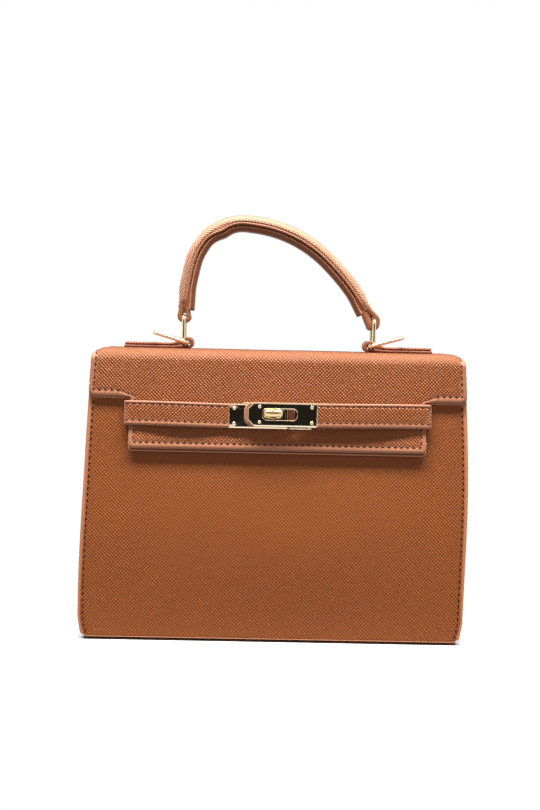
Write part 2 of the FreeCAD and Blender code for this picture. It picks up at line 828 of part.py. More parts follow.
def make_loops():
    """Folded ends of the handle that close round the tops of the upright rings."""
    radius, neck = size("loop_radius"), size("loop_neck") / 2
    hole = size("wire_radius") + size("loop_clearance")
    ends = {"left": (spine_start, start_heading), "right": (spine_end, end_heading + 180)}
    for name, side in SIDES.items():
        eye = Vector(side * handle_bar, 0, ring_top)
        joint, heading = ends[name]
        along, across = heading_vector(heading), heading_vector(heading + 90)
        root = joint - along * size("loop_gap")
        middle = root - eye
        flat = Vector(middle.x, middle.z, 0)
        side_way = Vector(across.x, across.z, 0)
        down = flat.normalize() * -radius
        wing = Vector(-down.y, down.x, 0)
        neck_end = Vector(middle.x, middle.z, 0)
        if wing.dot(side_way) < 0:
            wing = wing * -1
        run = [neck_end + side_way * neck, wing, down, wing * -1, neck_end - side_way * neck]
        curves = [
            Part.LineSegment(run[0], run[1]), Part.Arc(run[1], run[2], run[3]),
            Part.LineSegment(run[3], run[4]), Part.LineSegment(run[4], run[0]),
        ]
        loops = [curves, circle(0, 0, hole)]
        loop = outline_body("handle_loop_" + name, "XZ_Plane", loops, "sizes.loop_width")
        loop.Placement = Placement(eye + Y_AXIS * (size("loop_width") / 2), Rotation())


# Build every piece, test it and write it out

for make in (
    make_base, make_panels, make_gussets, make_lining, make_flap, make_plates, make_lock_base,
    make_lock_backing, make_knob, make_straps, make_chapes, make_rings, make_handle, make_loops,
):
    make()
doc.recompute()

for item in doc.Objects:
    faults = {"Invalid", "Error"} & set(item.State)
    if faults:
        raise RuntimeError(f"{item.Label} did not build: {sorted(faults)}")
for piece in pieces:
    if piece.Shape.isNull() or not piece.Shape.isValid() or piece.Shape.Volume <= 0:
        raise RuntimeError(f"{piece.Label} has no sound shape")

os.makedirs("parts", exist_ok=True)
for piece in pieces:
    piece.Shape.exportStep(f"parts/{piece.Label}.step")
    box = piece.Shape.BoundBox
    spans = [(box.XMin, box.XMax), (box.YMin, box.YMax), (box.ZMin, box.ZMax)]
    reach = "  ".join(f"{low:7.1f} to {high:6.1f}" for low, high in spans)
    print(f"{piece.Label:20s} solids {len(piece.Shape.Solids)}  {reach}")

strap_hinge = front_at(size("strap_span") / 2 - size("strap_leather"), lock_up, size("strap_hinge_depth"))
print("lean of the front, degrees:", round(math.degrees(lean), 3))
print("front fold:", front_fold, " rear fold:", rear_fold)
print("knob axis at the panel:", front_at(size("knob_place"), lock_up, 0).Base)
print("fold of the right strap:", strap_hinge.Base)
print("ring bars at height:", deck + bar_rise, " ring tops:", ring_top)
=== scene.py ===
# %% [markdown]
# # A leather top handle bag
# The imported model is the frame: every hinge, plate and panel already sits where it belongs. A bag maker
# cuts leather flat, turns its rim, stitches it and only then folds it into shape. This lesson works the
# same way, so one cutting helper and one folding helper make nearly every leather piece.

# %% Load the frame
import bpy
import bmesh
import math
from math import cos, pi, radians, sin
from mathutils import Matrix, Vector, noise


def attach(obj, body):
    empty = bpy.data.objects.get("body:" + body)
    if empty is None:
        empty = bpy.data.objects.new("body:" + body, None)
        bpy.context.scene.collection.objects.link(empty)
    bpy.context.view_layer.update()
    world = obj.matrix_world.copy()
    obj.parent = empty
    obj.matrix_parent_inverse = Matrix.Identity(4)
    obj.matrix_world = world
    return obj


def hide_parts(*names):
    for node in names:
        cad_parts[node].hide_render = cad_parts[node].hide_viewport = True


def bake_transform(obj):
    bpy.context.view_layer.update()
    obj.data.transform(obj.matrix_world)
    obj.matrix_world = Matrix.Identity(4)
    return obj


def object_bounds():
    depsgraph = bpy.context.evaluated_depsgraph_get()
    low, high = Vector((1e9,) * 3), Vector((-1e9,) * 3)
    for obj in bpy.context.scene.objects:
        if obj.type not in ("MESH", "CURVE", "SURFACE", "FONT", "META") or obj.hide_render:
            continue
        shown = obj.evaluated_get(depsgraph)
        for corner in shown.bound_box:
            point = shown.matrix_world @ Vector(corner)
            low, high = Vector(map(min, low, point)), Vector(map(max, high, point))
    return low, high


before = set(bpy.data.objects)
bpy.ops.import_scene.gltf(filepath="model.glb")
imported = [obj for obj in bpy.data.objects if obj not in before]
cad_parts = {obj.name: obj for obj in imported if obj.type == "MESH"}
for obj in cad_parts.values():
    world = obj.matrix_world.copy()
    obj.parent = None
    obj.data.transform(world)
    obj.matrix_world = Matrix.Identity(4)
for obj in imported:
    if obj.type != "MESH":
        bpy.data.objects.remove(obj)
cad_low, cad_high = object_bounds()
scene = bpy.context.scene
MM = 0.001
print("CAD size in mm:", [round((high - low) / MM, 1) for low, high in zip(cad_low, cad_high)])

# %% [markdown]
# ## The camera
# The camera could be pushed about by eye until the bag fits. It is quicker to measure a few corners, such
# as the tips of the tongue and the ends of the straps, and to solve for the one place that puts them where
# they belong. The solved camera stands a little above the flap, looks slightly down, and is rolled by about
# a degree.

# %% Camera
CAMERA_PLACE = Vector((-18.1, -820.1, 198.1)) * MM
CAMERA_DOWN, CAMERA_ASIDE, CAMERA_ROLL = (radians(a) for a in (3.25, 0.93, 1.29))
FOCAL_PIXELS, LONG_SIDE_PIXELS = 1200.0, 810.0


def new_object(name, data):
    """An object in the scene for a mesh, a lamp or the camera."""
    item = bpy.data.objects.new(name, data)
    scene.collection.objects.link(item)
    return item


ahead = Vector((
    sin(CAMERA_ASIDE) * cos(CAMERA_DOWN),
    cos(CAMERA_ASIDE) * cos(CAMERA_DOWN),
    -sin(CAMERA_DOWN),
))
level = Vector((cos(CAMERA_ASIDE), -sin(CAMERA_ASIDE), 0))
lift = level.cross(ahead)
right = level * cos(CAMERA_ROLL) + lift * sin(CAMERA_ROLL)
upward = right.cross(ahead)
camera = new_object("camera", bpy.data.cameras.new("camera"))
camera.data.sensor_width = 36.0
camera.data.lens = camera.data.sensor_width * FOCAL_PIXELS / LONG_SIDE_PIXELS
camera.matrix_world = Matrix((right, upward, -ahead)).transposed().to_4x4()
camera.location = CAMERA_PLACE
scene.camera = camera
scene.view_settings.view_transform = "Standard"
print("lens in mm:", round(camera.data.lens, 1))

# %% [markdown]
# ## Floor, backdrop and light
# The bag stands on a white sweep under one long lamp set steeply above it, with a weak warm fill from the
# front. For bounced light the floor and the backdrop are darker than they look, so that shadows stay deep.
# Polished plates show whatever faces them, so a dark card stands in front of the bag, out of the camera's
# sight. Without it the plates would be as pale as the backdrop. The card throws no shadow and changes only
# reflections.

# %% Material helpers


def new_material(name):
    """A material with a Principled BSDF; returns it with its tree and shader."""
    material = bpy.data.materials.new(name)
    material.use_nodes = True
    tree = material.node_tree
    return material, tree, tree.nodes["Principled BSDF"]


def feed(tree, node, **inputs):
    """Sets a node's inputs, by name or as i0, i1 and so on: to values, sockets or nodes' first outputs."""
    for key, value in inputs.items():
        socket = node.inputs[int(key[1:]) if key[1:].isdigit() else key.replace("_", " ")]
        if isinstance(value, bpy.types.Node):
            value = value.outputs[0]
        if isinstance(value, bpy.types.NodeSocket):
            tree.links.new(value, socket)
        else:
            socket.default_value = value


def add(tree, kind, settings=None, **inputs):
    """A new node with its settings and inputs."""
    node = tree.nodes.new(kind)
    for key, value in (settings or {}).items():
        setattr(node, key, value)
    feed(tree, node, **inputs)
    return node


def numbered(values):
    return {f"i{i}": value for i, value in enumerate(values)}


def math_node(tree, operation, *values):
    """The output of a Math node on values or sockets."""
    return add(tree, "ShaderNodeMath", {"operation": operation}, **numbered(values)).outputs[0]


def vector_math(tree, operation, *values, output="Vector", **inputs):
    """An output of a Vector Math node on vectors or sockets."""
    inputs.update(numbered(values))
    return add(tree, "ShaderNodeVectorMath", {"operation": operation}, **inputs).outputs[output]


def map_range(tree, value, smooth=False, **inputs):
    """The output of a Map Range node, from 0 and 1 to 0 and 1 where its inputs don't say otherwise."""
    settings = {"interpolation_type": "SMOOTHSTEP"} if smooth else None
    return add(tree, "ShaderNodeMapRange", settings, Value=value, **inputs).outputs["Result"]


def ramp(tree, factor, low, high):
    """The colour output of a ramp between two (place, colour) stops."""
    node = add(tree, "ShaderNodeValToRGB", Fac=factor)
    for element, (place, colour) in zip(node.color_ramp.elements, (low, high)):
        element.position = place
        element.color = (*colour, 1)
    return node.outputs["Color"]


# %% Floor and backdrop
FLOOR_HALF, FLOOR_DROP = 4.0, 0.0002
FLOOR_BOUNCE, FLOOR_WHITE, FLOOR_FADE = 0.15, 0.86, 0.04
AMBIENT = 0.03


def seen_directly(tree):
    """1 for the rays that show the backdrop itself: camera, glossy and transmission rays."""
    path = add(tree, "ShaderNodeLightPath").outputs
    either = math_node(tree, "MAXIMUM", path["Is Camera Ray"], path["Is Glossy Ray"])
    return math_node(tree, "MAXIMUM", either, path["Is Transmission Ray"])


def studio_sheet(name, corners, material):
    """A flat four-cornered piece of the studio, which isn't part of the bag."""
    mesh = bpy.data.meshes.new(name)
    mesh.from_pydata(corners, [], [(0, 1, 2, 3)])
    mesh.materials.append(material)
    item = new_object(name, mesh)
    return item


floor_paint, tree, shader = new_material("white_sweep")
seen = seen_directly(tree)
white = map_range(tree, seen, To_Min=FLOOR_BOUNCE, To_Max=FLOOR_WHITE)
feed(tree, shader, Base_Color=white, Roughness=0.85)
aside = vector_math(tree, "ABSOLUTE", add(tree, "ShaderNodeTexCoord").outputs["Object"])
past = vector_math(tree, "SUBTRACT", aside, (*cad_high[:2], 1.0))
past = vector_math(tree, "MAXIMUM", past, (0, 0, 0))
away = vector_math(tree, "LENGTH", past, output="Value")
fade = map_range(tree, away, smooth=True, From_Min=0.0, From_Max=FLOOR_FADE)
glow = add(tree, "ShaderNodeEmission", Color=(1, 1, 1, 1), Strength=1.0)
share = math_node(tree, "MULTIPLY", fade, seen)
mixed = add(tree, "ShaderNodeMixShader", i0=share, i1=shader, i2=glow)
feed(tree, tree.nodes["Material Output"], Surface=mixed)
floor_shares = ((-1, -1), (1, -1), (1, 1), (-1, 1))
floor_corners = [(x * FLOOR_HALF, y * FLOOR_HALF, -FLOOR_DROP) for x, y in floor_shares]
studio_sheet("floor", floor_corners, floor_paint)

world = bpy.data.worlds.new("studio")
scene.world = world
world.use_nodes = True
tree = world.node_tree
strength = map_range(tree, seen_directly(tree), To_Min=AMBIENT, To_Max=1.0)
feed(tree, tree.nodes["Background"], Color=(1, 1, 1, 1), Strength=strength)

# %% Dark card and lamps
CARD_Y, CARD_HALF, CARD_LOW, CARD_TOP = -1.7, 1.5, 0.02, 1.15
LAMP_AIM = Vector((0, 0, 0.14))
card_paint, tree, shader = new_material("dark_card")
feed(tree, shader, Base_Color=(0.012, 0.011, 0.01, 1), Roughness=1.0)
card_shares = ((-1, CARD_LOW), (1, CARD_LOW), (1, CARD_TOP), (-1, CARD_TOP))
card = studio_sheet("dark_card", [(x * CARD_HALF, CARD_Y, z) for x, z in card_shares], card_paint)
card.visible_camera = card.visible_diffuse = card.visible_shadow = card.visible_transmission = False


def lamp(name, place, size, power, colour):
    """A soft oblong lamp that faces the bag."""
    data = bpy.data.lights.new(name, "AREA")
    data.shape = "RECTANGLE"
    data.size, data.size_y = size
    data.energy, data.color = power, colour
    item = new_object(name, data)
    item.location = place
    item.rotation_euler = (LAMP_AIM - Vector(place)).to_track_quat("-Z", "Y").to_euler()


lamp("over_lamp", place=(0.0, -0.245, 1.2), size=(1.2, 0.2), power=40.5, colour=(1, 1, 1))
lamp("front_fill", place=(0.0, -1.2, 0.9), size=(1.6, 0.6), power=2.0, colour=(1.0, 0.74, 0.58))

# %% [markdown]
# ## The leather finish
# The hide is embossed with fine lines at 45 degrees both ways, about 1.6 millimetres apart, so it glitters
# in rows. A photograph of leather could be wrapped round the bag, but it would stretch at folds. Here the
# lines are worked out from each piece's flat pattern, kept as a UV map in metres, so the grain has one size
# on every piece. Turned rims are smoother and mostly paler; on some hides that rim colour is a painted
# highlight. Each cut piece carries a "rim" attribute, 1 at its edge and 0 inside.

# %% Cross grain group
FLOAT, VECTOR = "NodeSocketFloat", "NodeSocketVector"


def new_group(name, inputs, outputs):
    """An empty shader node group with named sockets; returns its tree, what it is given and its output."""
    group = bpy.data.node_groups.new(name, "ShaderNodeTree")
    for socket, kind in inputs:
        group.interface.new_socket(name=socket, in_out="INPUT", socket_type=kind)
    for socket in outputs:
        group.interface.new_socket(name=socket, in_out="OUTPUT", socket_type=FLOAT)
    return group, group.nodes.new("NodeGroupInput").outputs, group.nodes.new("NodeGroupOutput")


def cloudy(tree, place, scale, detail, output="Fac", **inputs):
    """An output of a Noise Texture node."""
    inputs.update(Vector=place, Scale=scale, Detail=detail)
    return add(tree, "ShaderNodeTexNoise", **inputs).outputs[output]


grain_sockets = [("Flat", VECTOR), ("Pitch", FLOAT), ("Wander", FLOAT)]
grain_group, given, gives = new_group("cross_grain", grain_sockets, ["Ridge", "Cloud"])
in_mm = vector_math(grain_group, "SCALE", given["Flat"], Scale=1 / MM)
drift = vector_math(grain_group, "SUBTRACT", cloudy(grain_group, in_mm, 0.3, 2.0, "Color"), (0.5, 0.5, 0.5))
bent = vector_math(grain_group, "ADD", in_mm, vector_math(grain_group, "SCALE", drift, Scale=given["Wander"]))
lines = []
for slope in (1, -1):
    way = (math.sqrt(0.5), slope * math.sqrt(0.5), 0)
    along = vector_math(grain_group, "DOT_PRODUCT", bent, way, output="Value")
    turns = math_node(grain_group, "DIVIDE", along, given["Pitch"])
    wave = math_node(grain_group, "SINE", math_node(grain_group, "MULTIPLY", turns, 2 * pi))
    lines.append(math_node(grain_group, "MULTIPLY_ADD", wave, 0.5, 0.5))
pebble = math_node(grain_group, "MULTIPLY", *lines)
patch = map_range(grain_group, cloudy(grain_group, in_mm, 0.05, 1.0), smooth=True, From_Min=0.3, From_Max=0.8)
row = add(grain_group, "ShaderNodeMix", {"data_type": "FLOAT"},
          Factor=patch, i2=lines[0], i3=lines[1]).outputs[0]
ridge = math_node(grain_group, "MULTIPLY_ADD", row, 0.5, math_node(grain_group, "MULTIPLY", pebble, 0.5))
feed(grain_group, gives, Ridge=ridge, Cloud=cloudy(grain_group, in_mm, 0.022, 3.0))


# %% Leather materials
def mix_colours(tree, share, first, second, blend="MIX"):
    """The colour output of a Mix node."""
    settings = {"data_type": "RGBA", "blend_type": blend}
    return add(tree, "ShaderNodeMix", settings, i0=share, i6=first, i7=second).outputs[2]


def finish_surface(tree, shader, colour, value, rough, height, strength, relief):
    """Links a colour, a roughness that follows a value from 0 to 1, and a relief whose depth is in mm."""
    bump = add(tree, "ShaderNodeBump", Height=height, Strength=strength, Distance=relief * MM)
    feed(tree, shader, Base_Color=colour, Normal=bump,
         Roughness=map_range(tree, value, To_Min=rough[0], To_Max=rough[1]))


def leather_material(name, valley, crown, rim_colour, pitch, relief, gloss, sheen=0.1):
    """Embossed leather: colour, gloss and relief follow the grain, and rims are plain and paler; on some
    hides the rim colour is a painted highlight.
    """
    material, tree, shader = new_material(name)
    flat = add(tree, "ShaderNodeUVMap", {"uv_map": "flat"}).outputs["UV"]
    grain = add(tree, "ShaderNodeGroup", {"node_tree": grain_group},
                Flat=flat, Pitch=pitch, Wander=1.0).outputs
    rim = add(tree, "ShaderNodeAttribute", {"attribute_name": "rim"}).outputs["Fac"]
    hide = ramp(tree, grain["Ridge"], (0.1, valley), (0.62, crown))
    shade = ramp(tree, grain["Cloud"], (0.3, (0.95, 0.94, 0.93)), (0.7, (1.0, 1.0, 1.0)))
    hide = mix_colours(tree, 1.0, hide, shade, "MULTIPLY")
    colour = mix_colours(tree, rim, hide, (*rim_colour, 1))
    plain = math_node(tree, "SUBTRACT", 1.0, math_node(tree, "MULTIPLY", rim, 0.85))
    height = math_node(tree, "MULTIPLY", grain["Ridge"], plain)
    finish_surface(tree, shader, colour, grain["Ridge"], (gloss + 0.16, gloss), height, 1.0, relief)
    feed(tree, shader, Specular_IOR_Level=0.5, Specular_Tint=(1.0, 0.92, 0.84, 1), Sheen_Weight=sheen,
         Sheen_Roughness=0.3, Sheen_Tint=(1.0, 0.93, 0.86, 1))
    return material


DARK_HIDE = (0.13, 0.03, 0.008), (0.22, 0.06, 0.018)
tan_hide = leather_material("tan_hide", (0.17, 0.033, 0.004), (0.455, 0.13, 0.02), (0.46, 0.185, 0.098),
                            pitch=1.62, relief=0.34, gloss=0.36, sheen=1.0)
# body_hide's rim colour is paler than its hide: partly the turned edge's own tone, partly a painted highlight
# on the lit edges.
body_hide = leather_material("body_hide", (0.19, 0.042, 0.005), (0.415, 0.11, 0.016), (0.6, 0.23, 0.1),
                             pitch=1.62, relief=0.2, gloss=0.42)
# handle_hide is much paler than the flap's leather, though it is the same hide: painted light for the
# brightly lit handle.
handle_hide = leather_material("handle_hide", (0.4, 0.165, 0.085), (0.7, 0.375, 0.225), (0.42, 0.17, 0.085),
                               pitch=1.5, relief=0.22, gloss=0.36, sheen=1.0)
# chape_hide is paler than the flap's leather: painted light on the chapes' upturned tops. Its dark rims are
# partly dark edge paint and partly painted shade between the two layers.
chape_hide = leather_material("chape_hide", (0.24, 0.07, 0.025), (0.52, 0.21, 0.09), (0.28, 0.10, 0.05),
                              pitch=1.5, relief=0.2, gloss=0.36, sheen=0.4)
under_hide = leather_material("under_hide", *DARK_HIDE, (0.34, 0.125, 0.055),
                              pitch=0.9, relief=0.06, gloss=0.42)
# strip_hide's pale rim colour is a painted highlight: the lit line along the strip's upper edge, below the
# bead.
strip_hide = leather_material("strip_hide", *DARK_HIDE, (0.66, 0.31, 0.16),
                              pitch=0.9, relief=0.06, gloss=0.42)
# inner_hide's rim colour is far paler than its hide: a painted highlight on the backing's lower edge, which
# lies in the tongue's shadow.
inner_hide = leather_material("inner_hide", (0.16, 0.045, 0.016), (0.26, 0.08, 0.03), (0.75, 0.33, 0.18),
                              pitch=0.9, relief=0.05, gloss=0.5)
print("leathers:", [m.name for m in bpy.data.materials if m.name.endswith("hide")])

# %% [markdown]
# ## Metal, thread, cloth and board
# The fittings are pale gold plate: almost a mirror, with a little uneven polish so highlights aren't
# perfectly even. Thread is dark and slightly twisted. The lining is a plain twill. The boards stay inside
# and get a simple fibre finish, because the bag opens and everything in it may be seen.

# %% Gold, thread, twill and board
polish_group, given, gives = new_group("polish", [("Place", VECTOR)], ["Wear", "Scratch"])
stretch = add(polish_group, "ShaderNodeMapping", Vector=given["Place"], Scale=(900, 60, 2600)).outputs[0]
feed(polish_group, gives, Wear=cloudy(polish_group, given["Place"], 400.0, 4.0),
     Scratch=cloudy(polish_group, stretch, 1.0, 2.0))


def gold_material(name, colour, smooth):
    """Polished gold plate with slight smears and hairlines."""
    material, tree, shader = new_material(name)
    feed(tree, shader, Metallic=1.0)
    place = add(tree, "ShaderNodeTexCoord").outputs["Object"]
    worn = add(tree, "ShaderNodeGroup", {"node_tree": polish_group}, Place=place).outputs
    tint = ramp(tree, worn["Wear"], (0.3, tuple(c * 0.93 for c in colour)), (0.7, colour))
    finish_surface(tree, shader, tint, worn["Wear"], (smooth, smooth + 0.08), worn["Scratch"], 0.12, 0.02)
    return material


def fibre_material(name, dark, light, scale, relief, rough):
    """A matt material of matted fibres, such as board or thread."""
    material, tree, shader = new_material(name)
    fibre = cloudy(tree, add(tree, "ShaderNodeTexCoord").outputs["Object"], scale, 5.0, Roughness=0.7)
    colour = ramp(tree, fibre, (0.3, dark), (0.7, light))
    finish_surface(tree, shader, colour, fibre, (rough, rough + 0.15), fibre, 0.6, relief)
    return material


def twill_material(name, dark, light, pitch):
    """Lining cloth: fine slanted ribs with a cross thread, on the flat pattern."""
    material, tree, shader = new_material(name)
    flat = add(tree, "ShaderNodeUVMap", {"uv_map": "flat"}).outputs["UV"]
    waves = []
    for direction in ((1, 0.6, 0), (-0.6, 1, 0)):
        step = vector_math(tree, "DOT_PRODUCT", flat, direction, output="Value")
        wave = math_node(tree, "SINE", math_node(tree, "MULTIPLY", step, 2 * pi / (pitch * MM)))
        waves.append(math_node(tree, "MULTIPLY_ADD", wave, 0.5, 0.5))
    rib = math_node(tree, "MULTIPLY", waves[0], math_node(tree, "MULTIPLY_ADD", waves[1], 0.4, 0.6))
    colour = ramp(tree, rib, (0.1, dark), (0.8, light))
    finish_surface(tree, shader, colour, rib, (0.9, 0.72), rib, 0.5, 0.12)
    return material


plate_gold = gold_material("plate_gold", (0.88, 0.76, 0.55), smooth=0.03)
ring_gold = gold_material("ring_gold", (0.87, 0.74, 0.50), smooth=0.07)
knob_gold = gold_material("knob_gold", (0.86, 0.68, 0.36), smooth=0.06)
thread = fibre_material("dark_thread", (0.035, 0.006, 0.002), (0.09, 0.018, 0.006),
                        scale=1800, relief=0.08, rough=0.9)
board_fibre = fibre_material("board_fibre", (0.20, 0.15, 0.10), (0.33, 0.26, 0.18),
                             scale=500, relief=0.1, rough=0.8)
twill = twill_material("lining_twill", (0.105, 0.05, 0.024), (0.2, 0.105, 0.055), pitch=0.9)
print("finishes:", len(bpy.data.materials))

# %% [markdown]
# ## Cutting leather flat
# A blank is an outline with rounded corners, drawn in step by step: first the rolled rim, then a shallow
# groove for the stitches, then the flat middle. Because every step uses the same corners, the rings of
# points match and join into clean strips. Cuts across the blank give it rows of points to bend at, as a
# crease does in real leather.

# %% The cutting helper


def rim_points(corners, inset, arc=6):
    """Points round an anticlockwise outline of (x, y, corner radius), drawn in by an inset."""
    count = len(corners)
    spots = [Vector((x, y)) for x, y, radius in corners]
    points = []
    for i, (x, y, radius) in enumerate(corners):
        before = (spots[i] - spots[i - 1]).normalized()
        after = (spots[(i + 1) % count] - spots[i]).normalized()
        sides = [Vector((-way.y, way.x)) for way in (before, after)]
        turn = math.atan2(before.cross(after), before.dot(after))
        inward = (sides[0] + sides[1]) / (1 + sides[0].dot(sides[1]))
        if abs(turn) < 1e-6:
            points.append(spots[i] + inward * inset)
            continue
        bend = 1 if turn > 0 else -1
        tight = max(radius - inset * bend, 0.15)
        centre = spots[i] + inward * (inset + bend * tight)
        start = -sides[0] * bend * tight
        for step in range(arc + 1):
            angle = turn * step / arc
            across = Vector((-start.y, start.x))
            points.append(centre + start * cos(angle) + across * sin(angle))
    return points


def box_corners(left, right, low, high, radius, high_radius=None):
    """An outline of four corners with one radius, or with another one for the upper two."""
    upper = radius if high_radius is None else high_radius
    return [(left, low, radius), (right, low, radius), (right, high, upper), (left, high, upper)]


STITCH_INSET = 3.3


def rim_steps(low, thick, roll, puff=0.15, groove=0.22, stitch=STITCH_INSET):
    """(inset, height, rim share) from the underside, round a rolled rim, to the middle of the face."""
    top = low + thick
    steps = [(roll * 1.6, low, 0.6)]
    for inset, height in ((0.6, 0.06), (0.16, 0.26), (0.0, 0.52), (0.14, 0.78), (0.5, 0.95)):
        steps.append((roll * inset, low + thick * height, 1.0))
    steps.append((roll, top + puff * 0.8, 1.0))
    if stitch:
        steps += [(stitch * 0.55, top + puff, 0.95), (stitch - 0.75, top + puff * 0.3, 0.7),
                  (stitch - 0.3, top - groove, 0.6), (stitch + 0.3, top - groove, 0.5),
                  (stitch + 0.9, top - groove * 0.2, 0.3), (stitch + 1.6, top, 0.0)]
    else:
        steps += [(roll * 1.5, top + puff, 0.6), (roll * 2.2, top, 0.0)]
    return steps


def join_rings(piece, rings, flat=None, uv_at=None):
    """Strips of faces between rings of points, with the flat place that uv_at(ring, step) gives corners."""
    for k, (low, high) in enumerate(zip(rings, rings[1:])):
        for i in range(len(low)):
            j = (i + 1) % len(low)
            face = piece.faces.new((low[i], low[j], high[j], high[i]))
            if uv_at:
                for loop, corner in zip(face.loops, ((k, i), (k, i + 1), (k + 1, i + 1), (k + 1, i))):
                    loop[flat].uv = uv_at(*corner)


def cut(corners, steps, across=(), upward=(), window=None, wide=None):
    """A flat blank in a bmesh: rings from rim_steps, capped both sides, with cuts and an optional window.
    Where the rim isn't the same width all round, wide(rim, point) says where each point goes."""
    blank = bmesh.new()
    share_of = blank.verts.layers.float.new("rim")
    edge = rim_points(corners, 0.0)
    rings = []
    for inset, height, share in steps:
        points = rim_points(corners, inset)
        if wide:
            points = [wide(rim, point) for rim, point in zip(edge, points)]
        ring = [blank.verts.new((*point, height)) for point in points]
        for vert in ring:
            vert[share_of] = share
        rings.append(ring)
    join_rings(blank, rings)
    blank.faces.new(rings[0][::-1])
    blank.faces.new(rings[-1])
    planes = [(x, 0) for x in across] + [(y, 1) for y in upward]
    if window:
        left, right, low, high = window
        planes += [(left, 0), (right, 0), (low, 1), (high, 1)]
    for place, axis in planes:
        way = Vector((1 - axis, axis, 0))
        everything = blank.verts[:] + blank.edges[:] + blank.faces[:]
        bmesh.ops.bisect_plane(blank, geom=everything, plane_co=way * place, plane_no=way, dist=1e-5)
    if window:
        middles = [(face, face.calc_center_median()) for face in blank.faces]
        gone = [face for face, at in middles if left < at.x < right and low < at.y < high]
        bmesh.ops.delete(blank, geom=gone, context="FACES")
        bmesh.ops.bridge_loops(blank, edges=[edge for edge in blank.edges if edge.is_boundary])
    return blank


def spread(first, last, step):
    """Evenly spaced cuts between two places, no further apart than a step."""
    count = max(1, math.ceil(abs(last - first) / step))
    return [first + (last - first) * i / count for i in range(count + 1)]


# %% [markdown]
# ## Folding it
# A fold is a rule that says where a spot of the flat blank ends up. The blank's height becomes the distance
# from the surface that it is folded over, so thickness and rims come along. The flat place of every corner
# is kept as the UV map, because that is what the embossing on real leather follows.

# %% The folding helper


def make_object(name, piece, material, inward=False):
    """An object from a finished bmesh in metres, with its faces turned outward or inward."""
    bmesh.ops.recalc_face_normals(piece, faces=piece.faces[:])
    if inward:
        bmesh.ops.reverse_faces(piece, faces=piece.faces[:])
    mesh = bpy.data.meshes.new(name)
    piece.to_mesh(mesh)
    piece.free()
    mesh.materials.append(material)
    mesh.shade_smooth()
    return new_object(name, mesh)


def fold(name, blank, fold_to, material):
    """Folds a flat blank by fold_to(x, y, height), all in mm, into an object in metres."""
    flat = blank.loops.layers.uv.new("flat")
    for face in blank.faces:
        for loop in face.loops:
            loop[flat].uv = loop.vert.co.xy * MM
    for vert in blank.verts:
        vert.co = fold_to(*vert.co) * MM
    return make_object(name, blank, material)


def dress(piece, body, slot, *nodes):
    """Gives a piece its body, and lets it stand for CAD nodes; the slot argument is not used."""
    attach(piece, body)
    if nodes:
        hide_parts(*nodes)
    return piece


def clamp(value):
    """A value kept between 0 and 1."""
    return min(1.0, max(0.0, value))


def smooth_step(value, low, high):
    """0 below low, 1 above high, and a soft step between."""
    share = clamp((value - low) / (high - low))
    return share * share * (3 - 2 * share)


# %% [markdown]
# ## Stitches
# A seam is a row of short dark stitches in a groove. Geometry Nodes lay them: the seam's line becomes a
# curve, the curve is sampled once for each stitch, and a small thread lump is set on every sample, turned
# along the seam and square to the leather. Every seam uses the same tree with its own spacing.

# %% The stitch tree


def new_tree(name, takes, sizes, paint):
    """A Geometry Nodes tree with named inputs; returns it with its inputs."""
    tree = bpy.data.node_groups.new(name, "GeometryNodeTree")
    kinds = [(takes, "Geometry")] + [(size, "Float") for size in sizes] + [(paint, "Material")]
    for socket, kind in kinds:
        tree.interface.new_socket(name=socket, in_out="INPUT", socket_type="NodeSocket" + kind)
    tree.interface.new_socket(name=name.title(), in_out="OUTPUT", socket_type="NodeSocketGeometry")
    return tree, tree.nodes.new("NodeGroupInput").outputs


def lay_lumps(tree, points, turned, ball, scale, paint):
    """Sets a stretched ball on every point, turned and painted, as the tree's result."""
    lump = add(tree, "GeometryNodeMeshUVSphere", **ball)
    size = add(tree, "ShaderNodeCombineXYZ", X=scale[0], Y=scale[1], Z=scale[2])
    shaped = add(tree, "GeometryNodeTransform", Geometry=lump, Scale=size)
    laid = add(tree, "GeometryNodeInstanceOnPoints", Points=points, Instance=shaped, Rotation=turned)
    real = add(tree, "GeometryNodeRealizeInstances", Geometry=laid)
    round_off = add(tree, "GeometryNodeSetShadeSmooth", Geometry=real)
    done = add(tree, "GeometryNodeSetMaterial", Geometry=round_off, Material=paint)
    add(tree, "NodeGroupOutput", i0=done)


def outward_lie(tree):
    """The direction kept on each point, square to what it lies on."""
    return add(tree, "GeometryNodeInputNamedAttribute", {"data_type": "FLOAT_VECTOR"}, Name="lie").outputs[0]


STITCHES, given = new_tree("stitches", "Seam", ("Pitch", "Length", "Width"), "Thread")
line = add(STITCHES, "GeometryNodeMeshToCurve", Mesh=given["Seam"])
samples = add(STITCHES, "GeometryNodeResampleCurve", {"mode": "LENGTH"}, Curve=line, Length=given["Pitch"])
tangent = STITCHES.nodes.new("GeometryNodeInputTangent")
ahead = add(STITCHES, "FunctionNodeAlignRotationToVector", {"axis": "X"}, Vector=tangent)
square = add(STITCHES, "FunctionNodeAlignRotationToVector", {"axis": "Z", "pivot_axis": "X"},
             Rotation=ahead, Vector=outward_lie(STITCHES))
lay_lumps(STITCHES, samples, square, {"Segments": 6, "Rings": 5, "Radius": 0.5},
          (given["Length"], given["Width"], given["Width"]), given["Thread"])


